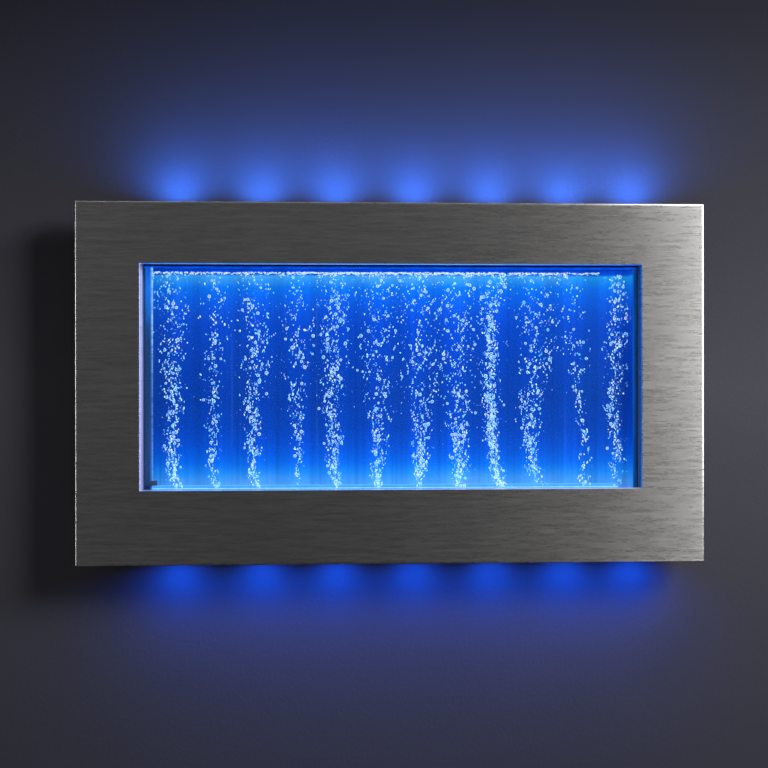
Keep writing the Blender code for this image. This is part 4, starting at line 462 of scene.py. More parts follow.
nodeFinishes = {
    "brushedSteel": ["front_frame"],
    "zincPlate": ["frame_stiffener_left", "frame_stiffener_right", "wall_cleat", "hanging_clip",
                  "rail_bracket_left", "rail_bracket_right", "clamp_bracket_left", "clamp_bracket_right"],
    "blackPaint": ["rear_tray"],
    "castAlloy": ["light_rail_lower", "light_rail_upper", "halo_rail_upper", "halo_rail_lower",
                  "led_driver"],
    "lidEdge": ["tank_lid"],
    "whiteBoard": ["led_strip_lower", "led_strip_upper"],
    "blackRubber": ["window_seal", "spacer_left", "spacer_right", "pump_diaphragm", "mains_lead",
                    "light_lead"],
    "blackPlastic": ["inlet_elbow", "check_valve", "air_valve_knob", "pump_case", "controller_case",
                     "power_inlet", "switch_body", "switch_rocker", "filler_neck", "filler_cap"],
    "greyPlastic": ["pump_cover", "pump_valve_box", "pump_arm", "mode_button"],
    "bluePlastic": ["drain_lever"],
    "brass": ["drain_tap", "air_valve_body"],
    "coreIron": ["pump_core", "pump_magnet", "magnet_strip_left", "magnet_strip_right"],
    "copperWinding": ["pump_coil"],
    "siliconeHose": ["air_hose_lower", "air_hose_upper"],
    "clearAcrylic": ["tank_front_pane"],
    "litPane": ["tank_rear_pane"],
    "blueBackingPaintedGlow": ["backing_panel"],
    "litEnd": ["tank_end_left", "tank_end_right"],
    "litFloor": ["tank_floor", "air_manifold"],
    "haloOpal": ["halo_lens_upper", "halo_lens_lower"],
    "railOpal": ["diffuser_lower", "diffuser_upper"],
}
for finishName, nodeNames in nodeFinishes.items():
    for nodeName in nodeNames:
        node = nodes[nodeName]
        node.data.materials.clear()
        node.data.materials.append(finishes[finishName])
dressed = [name for names in nodeFinishes.values() for name in names]
print("finishes set on", len(dressed), "nodes; left:", sorted(set(nodes) - set(dressed)))


# Modelling helpers

# What a piece rides on, where that isn't the panel
carriers = {"frameSheet": "front_frame", "frameGussets": "front_frame", "leverScrew": "drain_lever",
            "knobRibs": "air_knob", "capRibs": "filler_cap", "rockerMarks": "switch_rocker"}


def deselectAll():
    bpy.ops.object.select_all(action="DESELECT")


def applyShape():
    bpy.ops.object.transform_apply(location=True, rotation=True, scale=True)


def switchMode(mode):
    bpy.ops.object.mode_set(mode=mode)


def settlePiece(piece, name, finish):
    deselectAll()
    piece.name = name
    piece.data.name = name
    piece.select_set(True)
    bpy.context.view_layer.objects.active = piece
    applyShape()
    piece.data.materials.clear()
    piece.data.materials.append(finishes[finish])
    body = carriers.get(name, "panel")
    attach(piece, body)


def addBlock(low, high, rounding=0.0):
    deselectAll()
    bpy.ops.mesh.primitive_cube_add(size=1.0, location=[(start + end) / 2 for start, end in zip(low, high)])
    piece = bpy.context.object
    piece.scale = [end - start for start, end in zip(low, high)]
    applyShape()
    if rounding:
        softenEdges(piece, rounding)
    return piece


def addModifier(piece, kind, **settings):
    modifier = piece.modifiers.new(kind, kind)
    for key, value in settings.items():
        setattr(modifier, key, value)
    bpy.context.view_layer.objects.active = piece
    bpy.ops.object.modifier_apply(modifier=modifier.name)


def softenEdges(piece, width, segments=2):
    addModifier(piece, "BEVEL", width=width, segments=segments, limit_method="ANGLE")


def copyPiece(source, matrix):
    twin = source.copy()
    twin.data = source.data.copy()
    twin.data.transform(matrix)
    bpy.context.collection.objects.link(twin)
    return twin


def joinAll(pieces):
    deselectAll()
    for piece in pieces:
        piece.select_set(True)
    bpy.context.view_layer.objects.active = pieces[0]
    if len(pieces) > 1:
        bpy.ops.object.join()
    return bpy.context.view_layer.objects.active


def dropPiece(piece):
    bpy.data.objects.remove(piece, do_unlink=True)


# The stage: the wall it hangs on, a pale floor, soft studio light and the camera

stageLook = {
    "wallColour": (0.0285, 0.0283, 0.0350), "wallY": 0.0006, "wallSize": (6.0, 5.2), "wallBottom": -2.6,
    "wallDim": 0.92, "wallPatches": (2.0, 2.0, 2.0), "wallGrain": (160.0, 160.0, 160.0),
    # The wall's light and shade by height are painted into its colour
    "wallBump": (0.25, 0.0015), "wallShine": 0.07, "wallRoughness": 0.85, "paintedShadingSpan": (-0.85, 0.45),
    "wallPaintedShading": [(0.0, 0.62, 0.62, 0.64), (0.3, 0.85, 0.85, 0.88), (0.5, 1.0, 1.0, 1.0),
                  (0.7, 0.66, 0.66, 0.70), (1.0, 0.20, 0.20, 0.22)],
    "floorColour": (0.66, 0.66, 0.65), "floorSize": (9.0, 9.0), "floorRoughness": 0.8, "floorLift": 0.2,
    "worldColour": (0.94, 0.94, 1.0), "worldStrengths": (0.026, 0.108), "backdrop": (0.80, 0.81, 0.83),
    "lightTarget": (0.1, 0.0, -0.2),
    "cameraPlace": (-0.144, -2.498, -0.1885), "cameraTurn": (89.92, 0.07, -3.08), "cameraLens": 70.0,
}
# Name: place, width and height, power, and the kind of ray that doesn't meet it. The high lamp and the
# fill light the paint and the plastics; the key, side and top lamps are what the steel reflects.
lampRows = {
    "high": ((1.9, -1.9, 1.15), (1.4, 1.0), 236.0, "glossy"),
    "fill": ((-1.5, -2.4, 1.3), (1.5, 1.5), 10.0, "glossy"),
    "key": ((1.97, -2.05, 0.35), (1.2, 2.2), 152.0, "diffuse"),
    "side": ((-2.5, -1.7, -0.35), (0.9, 3.0), 80.0, "diffuse"),
    "top": ((-0.3, -1.2, 2.6), (2.5, 0.6), 9.0, "diffuse"),
    "rear": ((-0.8, 2.8, 1.5), (2.2, 2.2), 100.0, ""),
}


upright = (math.pi / 2, 0.0, 0.0)


def addPlane(name, size, place, turn=(0.0, 0.0, 0.0)):
    deselectAll()
    bpy.ops.mesh.primitive_plane_add(size=1.0, location=place, rotation=turn)
    plane = bpy.context.object
    plane.name = name
    plane.scale = (*size, 1.0)
    applyShape()
    return plane


def paintWall(wall, look):  # can't be seen from behind
    material, tree, shader = startMaterial("wallPaint")
    dim = [channel * look["wallDim"] for channel in look["wallColour"]]
    paint = gradient(tree, cloud(tree, look["wallPatches"]), [(0.3, *dim), (0.7, *look["wallColour"])])
    # Painted light and shade: brightest level with the panel's middle, darker towards the top and the
    # bottom
    rise = remap(tree, axisOf(tree, objectPlace(tree), "Z"), *look["paintedShadingSpan"], 0.0, 1.0)
    fillSockets(tree, shader, {
        "Base Color": blendColours(tree, 1.0, paint, gradient(tree, rise, look["wallPaintedShading"]), "MULTIPLY"),
        "Roughness": look["wallRoughness"], "Specular IOR Level": look["wallShine"],
        "Normal": bumpFrom(tree, cloud(tree, look["wallGrain"], 3.0, 0.6), *look["wallBump"])})
    clear = addNode(tree, "BsdfTransparent")
    back = addNode(tree, "NewGeometry").outputs["Backfacing"]
    mixed = addNode(tree, "MixShader", {0: back, 1: shader.outputs[0], 2: clear.outputs[0]})
    tree.links.new(mixed.outputs[0], tree.nodes["Material Output"].inputs["Surface"])
    wall.data.materials.append(material)


def paintFloor(floor, look):
    material, tree, shader = startMaterial("floorPaint")
    seen = product(tree, addNode(tree, "LightPath").outputs["Is Camera Ray"], look["floorLift"])
    colour = (*look["floorColour"], 1.0)
    fillSockets(tree, shader, {"Base Color": colour, "Roughness": look["floorRoughness"],
                               "Emission Color": colour, "Emission Strength": seen})
    floor.data.materials.append(material)


def buildStage(look):
    wallMiddle = look["wallBottom"] + look["wallSize"][1] / 2
    wall = addPlane("studioWall", look["wallSize"], (0.0, look["wallY"], wallMiddle), upright)
    floor = addPlane("studioFloor", look["floorSize"], (0.0, 0.0, look["wallBottom"]))
    paintWall(wall, look)
    paintFloor(floor, look)
    wall.visible_shadow = False
    wall.visible_diffuse = False
    floor.visible_glossy = False


def addAreaLight(name, place, target, size, power):
    light = bpy.data.lights.new(name, "AREA")
    light.shape = "RECTANGLE"
    light.size, light.size_y = size
    light.energy = power
    lamp = bpy.data.objects.new(name, light)
    lamp.location = place
    lamp.rotation_euler = (Vector(target) - Vector(place)).to_track_quat("-Z", "Y").to_euler()
    bpy.context.scene.collection.objects.link(lamp)
    return lamp


def buildLight(look, rows):
    for part, (place, size, power, unseenBy) in rows.items():
        lamp = addAreaLight(part + "Softbox", place, look["lightTarget"], size, power)
        lamp.visible_glossy = unseenBy != "glossy"
        lamp.visible_diffuse = unseenBy != "diffuse"
    world = bpy.data.worlds.new("studioWorld")
    bpy.context.scene.world = world
    world.use_nodes = True
    tree = world.node_tree
    tree.nodes.clear()
    camera = addNode(tree, "LightPath").outputs["Is Camera Ray"]
    rise = axisOf(tree, addNode(tree, "TexCoord").outputs["Generated"], "Z")
    strength = remap(tree, rise, -0.25, 0.25, *look["worldStrengths"])
    ambient = addNode(tree, "Background", {0: (*look["worldColour"], 1.0), 1: strength})
    seen = addNode(tree, "Background", {0: (*look["backdrop"], 1.0), 1: 1.0})
    mixed = addNode(tree, "MixShader", {0: camera, 1: ambient.outputs[0], 2: seen.outputs[0]})
    tree.links.new(mixed.outputs[0], addNode(tree, "OutputWorld").inputs["Surface"])


def buildCamera(look):
    camera = bpy.data.cameras.new("photoCamera")
    camera.lens = look["cameraLens"]
    camera.sensor_width = 36.0
    holder = bpy.data.objects.new("photoCamera", camera)
    holder.location = look["cameraPlace"]
    holder.rotation_euler = [math.radians(angle) for angle in look["cameraTurn"]]
    bpy.context.scene.collection.objects.link(holder)
    bpy.context.scene.camera = holder


buildStage(stageLook)
buildLight(stageLook, lampRows)
buildCamera(stageLook)
bpy.context.scene.view_settings.view_transform = "Standard"
print("stage, light and camera ready")


# Water, foam and bubbles

# Painted light on the bubbles: where the rim turns to heart, and the tones of the rim's glow
bubbleLooks = {
    "bubbleLight": {
        "ring": (0.45, 0.85),
        "tones": [(0.0, 0.01, 0.20, 0.86), (0.3, 0.05, 0.40, 0.98), (0.6, 0.30, 0.80, 1.0),
                  (0.85, 0.70, 0.98, 1.0), (1.0, 0.88, 1.0, 1.0)]},
    "foamLight": {
        "ring": (0.75, 0.98),
        "tones": [(0.0, 0.06, 0.42, 0.98), (0.4, 0.30, 0.75, 1.0), (0.8, 0.70, 0.95, 1.0),
                  (1.0, 0.92, 1.0, 1.0)]},
}


def bubbleFinish(name, look):  # painted light: a bright rim round a heart that shows the water's painted glow
    material, tree, shader = startMaterial(name, "NONE")
    facing = combine(tree, "ABSOLUTE", axisOf(tree, addNode(tree, "TexCoord").outputs["Normal"], "Y"))
    hollow = addNode(tree, "Attribute", attribute_name="hollow").outputs["Fac"]
    tone = addNode(tree, "Attribute", attribute_name="tone").outputs["Fac"]
    heart = product(tree, remap(tree, facing, *look["ring"], 0.0, 1.0), hollow)
    rim = combine(tree, "SUBTRACT", 1.0, heart)
    glow = blendColours(tree, rim, waterGlow(tree, waterLook), gradient(tree, tone, look["tones"]))
    fillSockets(tree, shader, {"Base Color": (0.03, 0.12, 0.35, 1.0), "Roughness": 0.15,
                               "Emission Color": glow, "Emission Strength": 1.0})
    return material


for name, look in bubbleLooks.items():
    finishes[name] = bubbleFinish(name, look)

tankInside = {"left": -0.3922, "right": 0.3952, "back": -0.0335, "front": -0.0587, "floor": -0.3632,
              "surface": -0.0097}
rippleLook = {"cells": (160, 5), "height": 0.0009, "seed": 7, "waves": 7, "pace": (20.0, 160.0),
              "sidePace": 60.0}


def makeWater(inside, look):
    rolls = random.Random(look["seed"])
    waves = [(rolls.uniform(*look["pace"]), rolls.uniform(0.0, 6.3), rolls.uniform(0.2, 1.0))
             for _ in range(look["waves"])]
    total = sum(share for _, _, share in waves)
    deselectAll()
    cellsX, cellsY = look["cells"]
    bpy.ops.mesh.primitive_grid_add(x_subdivisions=cellsX, y_subdivisions=cellsY, size=1.0)
    water = bpy.context.object
    water.location = ((inside["left"] + inside["right"]) / 2, (inside["back"] + inside["front"]) / 2,
                      inside["surface"])
    water.scale = (inside["right"] - inside["left"], inside["back"] - inside["front"], 1.0)
    applyShape()
    switchMode("EDIT")
    bpy.ops.mesh.select_all(action="SELECT")
    sink = (0.0, 0.0, inside["floor"] - inside["surface"])
    bpy.ops.mesh.extrude_region_move(TRANSFORM_OT_translate={"value": sink})
    switchMode("OBJECT")
    for vertex in water.data.vertices:
        if vertex.co.z > inside["surface"] - 0.001:
            x, side = vertex.co.x, vertex.co.y * look["sidePace"]
            swell = sum(math.sin(x * pace + shift + side) * share for pace, shift, share in waves)
            vertex.co.z += swell / total * look["height"]
    switchMode("EDIT")
    bpy.ops.mesh.select_all(action="SELECT")
    bpy.ops.mesh.normals_make_consistent(inside=False)
    switchMode("OBJECT")
    settlePiece(water, "tankWater", "water")


def makeDrop(segments, rings):  # one bubble, its poles to the front and back
    deselectAll()
    bpy.ops.mesh.primitive_uv_sphere_add(segments=segments, ring_count=rings, radius=1.0,
                                         rotation=upright)
    applyShape()
    bpy.ops.object.shade_smooth()
    drop = bpy.context.object
    for quality in ("tone", "hollow"):
        drop.data.attributes.new(quality, "FLOAT", "POINT")
    return drop


def placeDrop(source, place, size, stretch, tilt, tone, hollow):
    shape = Matrix.Diagonal((*(size * share for share in stretch), 1.0))
    twin = copyPiece(source, Matrix.Translation(place) @ Matrix.Rotation(tilt, 4, "Y") @ shape)
    count = len(twin.data.vertices)
    twin.data.attributes["tone"].data.foreach_set("value", [tone] * count)
    twin.data.attributes["hollow"].data.foreach_set("value", [hollow] * count)
    return twin


def along(knots, share):  # straight lines between (share, value) knots
    for (startAt, startValue), (endAt, endValue) in zip(knots, knots[1:]):
        if share <= endAt:
            return startValue + (endValue - startValue) * (share - startAt) / (endAt - startAt)
    return knots[-1][1]


# Each stream rises from its hole: how crowded it is, then its drift and its spread as (share of the
# height, mm) knots
streamRows = [
    (1.20, [(0.0, 0), (0.06, -11), (0.5, -9), (0.8, -10), (1.0, -17)],
     [(0.0, 5), (0.4, 9), (0.6, 14), (1.0, 18)]),
    (0.66, [(0.0, 0), (0.06, -12), (0.4, -8), (0.8, -3), (1.0, -3)],
     [(0.0, 4), (0.4, 9), (0.7, 13), (1.0, 14)]),
    (1.02, [(0.0, 0), (0.06, -10), (0.5, -9), (0.7, -4), (1.0, -6)],
     [(0.0, 4), (0.35, 8), (0.5, 15), (1.0, 18)]),
    (0.62, [(0.0, 0), (0.3, -2), (0.5, -5), (0.7, -1), (1.0, -4)],
     [(0.0, 2.5), (0.3, 6), (0.5, 12), (1.0, 14)]),
    (1.30, [(0.0, 0), (0.06, -7), (0.5, -10), (0.8, -5), (1.0, -2)],
     [(0.0, 4), (0.35, 9), (0.65, 18), (1.0, 20)]),
    (1.02, [(0.0, 0), (0.06, -2), (0.3, 3), (0.6, -3), (1.0, 6)],
     [(0.0, 4), (0.3, 9), (0.5, 18), (1.0, 24)]),
    (1.18, [(0.0, 0), (0.06, 4), (0.4, 9), (0.7, 8), (1.0, 6)],
     [(0.0, 4), (0.3, 10), (0.5, 20), (1.0, 25)]),
    (1.15, [(0.0, 0), (0.06, 4), (0.4, 6), (0.7, 3), (1.0, 3)],
     [(0.0, 6), (0.35, 12), (0.5, 19), (1.0, 24)]),
    (1.75, [(0.0, 5), (0.06, 2), (0.22, -7), (0.7, -9), (1.0, -5)],
     [(0.0, 6), (0.3, 7), (0.75, 8), (1.0, 18)]),
    (1.10, [(0.0, 8), (0.06, 2), (0.2, -11), (0.36, -10), (0.5, 3), (1.0, 6)],
     [(0.0, 7), (0.35, 9), (0.5, 19), (1.0, 26)]),
    (0.42, [(0.0, 18), (0.25, 18), (0.45, 5), (0.7, 0), (1.0, -9)],
     [(0.0, 4), (0.5, 7), (0.65, 15), (1.0, 16)]),
    (0.92, [(0.0, 4), (0.15, 9), (0.35, 0), (0.6, 3), (0.85, 9), (1.0, 4)],
     [(0.0, 7), (0.3, 8), (0.65, 12), (1.0, 11)]),
]
# ringTone and dropTone set how brightly each bubble's rim is painted lit
streamLook = {
    "firstX": -0.3475, "pitch": 0.065, "seed": 31, "crowd": 560, "start": 0.0022, "end": 0.004,
    "scatter": 0.85, "size": (0.0006, 0.0013), "ringSize": (0.0016, 0.0027), "ringShare": 0.12,
    "specks": 150, "speckSize": (0.0003, 0.0007), "speckScatter": 1.25,
    "depth": -0.0461, "room": (0.0025, 0.0095), "footShare": 0.03, "footDepth": -0.0558, "footRoom": 0.001,
    "ringStretch": ((0.9, 1.1), (0.9, 1.25)), "ringTone": (0.82, 0.10), "ringHollow": 0.85,
    "dropStretch": ((0.6, 1.0), (0.9, 1.9)), "dropTone": (0.72, 0.28), "dropHollow": 0.3,
    "heightPower": 1.05, "sizePower": 1.3, "sway": (19.0, 0.2), "alone": (0.5, 0.3), "longest": (3, 2.0),
    "lean": 0.35, "leanBack": 0.4, "tilt": 0.45, "rise": (2.2, 4.2), "stray": 1.6, "growth": (0.8, 1.2),
}


def rollBubble(look, inside, rolls, number, height, aside, size, lean):  # rolls what placeDrop needs
    _, driftKnots, spreadKnots = streamRows[number]
    foot = inside["floor"] + look["start"]
    reach = inside["surface"] - look["end"] - foot
    room = min(look["room"][1], look["room"][0] + along(spreadKnots, height) / 2000.0)
    if height > look["footShare"]:
        y = look["depth"] + rolls.uniform(-room, room)
    else:
        y = look["footDepth"] + rolls.uniform(-look["footRoom"], look["footRoom"])
    x = look["firstX"] + look["pitch"] * number + along(driftKnots, height) / 1000.0 + aside
    x = min(max(x, inside["left"] + look["end"]), inside["right"] - look["end"])
    kind = "ring" if size > look["size"][1] * 1.3 else "drop"
    wide, tall = look[kind + "Stretch"]
    stretch = (rolls.uniform(*wide), 1.0, rolls.uniform(*tall))
    tone = min(1.0, max(0.0, rolls.gauss(*look[kind + "Tone"])))
    tilt = lean + rolls.gauss(0.0, look["tilt"])
    return (x, y, foot + height * reach), size, stretch, tilt, tone, look[kind + "Hollow"]


def makeStreams(look, inside):
    drop = makeDrop(8, 5)
    ring = makeDrop(12, 8)
    speck = makeDrop(5, 3)
    reach = inside["surface"] - look["end"] - inside["floor"] - look["start"]
    for number, (share, _, spreadKnots) in enumerate(streamRows):
        rolls = random.Random(look["seed"] + number)
        crowd = round(look["crowd"] * share)
        twins = []
        while len(twins) < crowd:  # rings, single bubbles and short strings of them
            height = rolls.random() ** look["heightPower"]
            spread = along(spreadKnots, height) / 1000.0
            aside = rolls.gauss(0.0, spread * look["scatter"])
            aside += math.sin(height * look["sway"][0] + number) * spread * look["sway"][1]
            if rolls.random() < look["ringShare"]:
                size = rolls.uniform(*look["ringSize"])
                bubble = rollBubble(look, inside, rolls, number, height, aside, size, 0.0)
                twins.append(placeDrop(ring, *bubble))
                continue
            smallest, largest = look["size"]
            size = smallest + (largest - smallest) * rolls.random() ** look["sizePower"]
            lean = rolls.gauss(0.0, look["lean"])
            alone = rolls.random() < look["alone"][0] + look["alone"][1] * height
            longest = look["longest"][0] + round(look["longest"][1] * (1.0 - height))
            tilt = -lean * look["leanBack"]
            for _ in range(1 if alone else rolls.randint(2, longest)):
                bubble = rollBubble(look, inside, rolls, number, height, aside, size, tilt)
                twins.append(placeDrop(drop, *bubble))
                height = min(1.0, height + size * rolls.uniform(*look["rise"]) / reach)
                aside += math.tan(lean) * size * 2.0 + rolls.gauss(0.0, size * look["stray"])
                size *= rolls.uniform(*look["growth"])
        for _ in range(round(look["specks"] * share)):
            height = rolls.random()
            aside = rolls.gauss(0.0, along(spreadKnots, height) / 1000.0 * look["speckScatter"])
            size = rolls.uniform(*look["speckSize"])
            bubble = rollBubble(look, inside, rolls, number, height, aside, size, 0.0)
            twins.append(placeDrop(speck, *bubble))
        settlePiece(joinAll(twins), f"bubbleStream{number + 1:02d}", "bubbleLight")
    for source in (drop, ring, speck):
        dropPiece(source)


foamLook = {
    "seed": 91, "count": 1500, "from": -0.3905, "thinTo": -0.19, "fullTo": 0.20, "to": 0.3450,
    "thinning": 0.45, "tail": (0.35, 0.5), "size": (0.0005, 0.0012), "thickness": 0.0062, "hang": 0.12,
    "hangDepth": 0.003, "depthPower": 1.8, "sag": (61.0, 143.0), "lift": 0.0006, "frontGap": 0.002,
    "backGap": 0.003, "stretch": ((0.9, 1.9), (0.6, 1.0)), "tone": (0.85, 0.2), "toneFall": 50.0,
    "tilt": 0.4, "hollow": 0.4,
}


def makeFoam(look, inside):  # thick in the middle, thinner to the left and dying out to the right
    rolls = random.Random(look["seed"])
    drop = makeDrop(8, 5)
    twins = []
    while len(twins) < look["count"]:
        x = rolls.uniform(look["from"], look["to"])
        left = (look["to"] - x) / (look["to"] - look["fullTo"])
        if x > look["fullTo"] and rolls.random() > look["tail"][0] + look["tail"][1] * left:
            continue
        if x < look["thinTo"] and rolls.random() < look["thinning"]:
            continue
        sag = 0.50 + 0.50 * math.sin(x * look["sag"][0]) * math.sin(x * look["sag"][1] + 2.0)
        depth = rolls.random() ** look["depthPower"] * look["thickness"] * sag
        if rolls.random() < look["hang"]:
            depth = depth * 2.0 + rolls.random() * look["hangDepth"]
        y = rolls.uniform(inside["front"] + look["frontGap"], inside["back"] - look["backGap"])
        place = (x, y, inside["surface"] + look["lift"] - depth)
        size = rolls.uniform(*look["size"])
        stretch = (rolls.uniform(*look["stretch"][0]), 1.0, rolls.uniform(*look["stretch"][1]))
        # Foam hanging deeper below the surface is painted dimmer
        tone = min(1.0, max(0.0, rolls.gauss(*look["tone"]) - depth * look["toneFall"]))
        tilt = rolls.uniform(-look["tilt"], look["tilt"])
        twins.append(placeDrop(drop, place, size, stretch, tilt, tone, look["hollow"]))
    settlePiece(joinAll(twins), "surfaceFoam", "foamLight")
    dropPiece(drop)


# The tips of the seven lights above and the seven below, and the lamps that throw their spots on the wall
haloLook = {
    "count": 7, "pitch": 0.1225, "middleX": 0.033, "depth": -0.0275, "radius": 0.0042, "thickness": 0.0006,
    "aims": (-0.014, 0.0, 0.001, 0.008, 0.013, 0.014, 0.005),  # how far each beam stands beside its tip
    "beamDepth": -0.048, "beamSize": (0.006, 0.006), "beamSpread": 157.0,
    # Name, level of the tips, level of the beams, which way they shine, power, colour
    "rows": [("Upper", 0.0847, 0.0942, 1.0, 3.2, (0.045, 0.215, 1.0)),
             ("Lower", -0.4657, -0.4763, -1.0, 1.55, (0.004, 0.11, 1.0))],
}


def makeHaloTips(look):
    steps = [step - (look["count"] - 1) / 2 for step in range(look["count"])]
    places = [look["middleX"] + step * look["pitch"] for step in steps]
    for name, tipLevel, beamLevel, way, power, colour in look["rows"]:
        tip = makeDisc(look["radius"], -look["thickness"] / 2, look["thickness"] / 2, 20)
        matrices = [Matrix.Translation((place, look["depth"], tipLevel)) for place in places]
        settlePiece(joinAll([copyPiece(tip, matrix) for matrix in matrices]), "haloTips" + name, "haloDome")
        dropPiece(tip)
        for place, aim in zip(places, look["aims"]):
            start = (place + aim, look["beamDepth"], beamLevel)
            target = (start[0], start[1], beamLevel + way)
            beam = addAreaLight("haloBeam" + name, start, target, look["beamSize"], power)
            beam.data.color = colour
            beam.data.spread = math.radians(look["beamSpread"])
            beam.visible_camera = False


# Clear strips that fill the gap between the pane's ends and the frame's returns: left, right, finish
glazingLook = {
    "front": -0.0726, "back": -0.0650, "low": -0.3622, "high": 0.0018, "rounding": 0.0002,
    # The left strip takes the painted-lit glazing; the dark left strip and the right strip the
    # painted-shade copy
    "rows": {"glazingStripLeft": (-0.4063, -0.4037, "glazingPaintedLit"),
             "glazingDarkStripLeft": (-0.4037, -0.4028, "glazing"),
             "glazingStripRight": (0.4058, 0.4063, "glazing")},
}


def makeGlazing(look):
    for name, (left, right, finish) in look["rows"].items():
        low, high = (left, look["front"], look["low"]), (right, look["back"], look["high"])
        settlePiece(addBlock(low, high, look["rounding"]), name, finish)


# The brushed face as one sheet. Its folds fall away a little before they turn, as a press leaves them;
# each step of a roll is a width and a rise.
frameLook = {
    "half": 0.508, "low": -0.482, "high": 0.101, "front": -0.095, "back": -0.057, "sheet": 0.0012,
    "windowHalf": 0.4065, "windowLow": -0.3625, "windowHigh": 0.002, "windowBack": -0.073, "margin": 0.050,
    "roll": [(0.00008, 0.00058), (0.00023, 0.00052), (0.00040, 0.00042), (0.00050, 0.00030),
             (0.00058, 0.00019), (0.00075, 0.00011), (0.00100, 0.00005), (0.00150, 0.00002)],
    "windowRoll": [(0.00022, -0.00005), (0.00011, -0.00011), (0.00005, -0.00022)], "smooth": 40.0,
}


def stepInwards(thickness, rise):
    bpy.ops.mesh.inset(thickness=thickness, depth=rise, use_boundary=True, use_even_offset=True)


def makeFrameSheet(look):
    rollWidth, rollRise = (sum(step[part] for step in look["roll"]) for part in (0, 1))
    lipWidth, lipRise = (sum(step[part] for step in look["windowRoll"]) for part in (0, 1))
    margin = rollWidth + look["margin"]
    start = look["front"] + rollRise
    middle = (look["low"] + look["high"]) / 2
    size = (look["half"] * 2, look["high"] - look["low"])
    sheet = addPlane("frameSheet", size, (0.0, start, middle), upright)
    switchMode("EDIT")
    bpy.ops.mesh.select_all(action="SELECT")
    for thickness, rise in [*look["roll"], (look["margin"], 0.0)]:
        stepInwards(thickness, rise)
    wide = (look["windowHalf"] + lipWidth) / (look["half"] - margin)
    windowHeight = look["windowHigh"] - look["windowLow"]
    windowMiddle = (look["windowHigh"] + look["windowLow"]) / 2
    tall = (windowHeight + lipWidth * 2) / (size[1] - margin * 2)
    bpy.ops.transform.resize(value=(wide, 1.0, tall), center_override=(0.0, look["front"], middle))
    bpy.ops.transform.translate(value=(0.0, 0.0, windowMiddle - middle))
    for thickness, rise in look["windowRoll"]:
        stepInwards(thickness, rise)
    fold = (0.0, look["windowBack"] - look["front"] + lipRise, 0.0)
    bpy.ops.mesh.extrude_region_move(TRANSFORM_OT_translate={"value": fold})
    bpy.ops.mesh.delete(type="FACE")
    bpy.ops.mesh.select_mode(type="EDGE")
    switchMode("OBJECT")
    corners = sheet.data.vertices
    for edge in sheet.data.edges:
        edge.select = all(abs(corners[end].co.y - start) < 1e-6 for end in edge.vertices)
    switchMode("EDIT")
    bpy.ops.mesh.extrude_edges_move(TRANSFORM_OT_translate={"value": (0.0, look["back"] - start, 0.0)})
    bpy.ops.mesh.select_all(action="SELECT")
    bpy.ops.mesh.normals_make_consistent(inside=False)
    switchMode("OBJECT")
    addModifier(sheet, "SOLIDIFY", thickness=look["sheet"], offset=-1.0, use_even_offset=True)
    bpy.ops.object.shade_smooth_by_angle(angle=math.radians(look["smooth"]))
    addModifier(sheet, "WEIGHTED_NORMAL", weight=100, keep_sharp=True)
    settlePiece(sheet, "frameSheet", "brushedSteel")
    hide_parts("front_frame")


# Fasteners, modelled once with the axis along +Z and the seat at the origin, then copied
fastenerLook = {
    "screw": {"radius": 0.0030, "height": 0.0019, "rounding": 0.0007, "slot": (0.0034, 0.0007, 0.0009)},
    "rivet": {"radius": 0.0027, "height": 0.0013, "collar": 0.0034, "collarHeight": 0.0004, "smooth": 0.7},
    "finish": "zincPlate",
    "seats": {
        "clipRivets": ("rivet", "+Y", [
            (x, -0.0177, 0.0365) for x in (-0.318, -0.199, -0.080, 0.040, 0.160, 0.281)]),
        "bracketScrewsBack": ("screw", "+Y", [
            (x + side, -0.0200, -0.3971) for x in (-0.3175, 0.2805) for side in (-0.008, 0.008)]),
        "beadRivetsBack": ("rivet", "+Y", [
            (x, -0.0200, z) for x in (-0.460, -0.230, 0.0, 0.230, 0.460)
            for z in (-0.040, -0.200, -0.350)]),
        "sideRivetsLeft": ("rivet", "-X", [
            (-0.4820, y, z) for y in (-0.0610, -0.0340) for z in (-0.430, -0.190, 0.050)]),
        "sideRivetsRight": ("rivet", "+X", [
            (0.4820, y, z) for y in (-0.0610, -0.0340) for z in (-0.430, -0.190, 0.050)]),
        "undersideScrews": ("screw", "-Z", [
            *((x, y, -0.4560) for x in (-0.265, -0.185, -0.092, 0.070, 0.200) for y in (-0.062, -0.042)),
            (0.3255, -0.0610, -0.4560), (0.3445, -0.0610, -0.4560)]),
        "pumpCoverScrews": ("screw", "+Z", [
            (x, y, -0.4105) for x in (-0.272, -0.178) for y in (-0.0645, -0.0305)]),
        "controllerScrews": ("screw", "+Z", [
            (x, y, -0.4311) for x in (-0.095, -0.025) for y in (-0.0611, -0.0311)]),
        "clampScrews": ("screw", "+Z", [(x, -0.0500, 0.0446) for x in (-0.3175, 0.2805)]),
        "magnetRivets": ("rivet", "-Y", [
            (x, -0.0735, z) for x in (-0.471, 0.471) for z in (-0.325, -0.1905, -0.056)]),
        "leverScrew": ("screw", "-Y", [(0.3855, -0.0676, -0.3958)]),
    },
}


def makeDisc(radius, low, high, vertices=24):
    deselectAll()
    bpy.ops.mesh.primitive_cylinder_add(vertices=vertices, radius=radius, depth=high - low,
                                        location=(0.0, 0.0, (low + high) / 2))
    applyShape()
    return bpy.context.object


def makeScrew(look):  # pan head with a cross recess
    head = makeDisc(look["radius"], -0.0003, look["height"])
    softenEdges(head, look["rounding"], 3)
    length, width, depth = look["slot"]
    for wide, tall in ((length, width), (width, length)):
        low, high = look["height"] - depth, look["height"] + depth
        cutter = addBlock((-wide / 2, -tall / 2, low), (wide / 2, tall / 2, high))
        addModifier(head, "BOOLEAN", operation="DIFFERENCE", object=cutter)
        dropPiece(cutter)
    return head


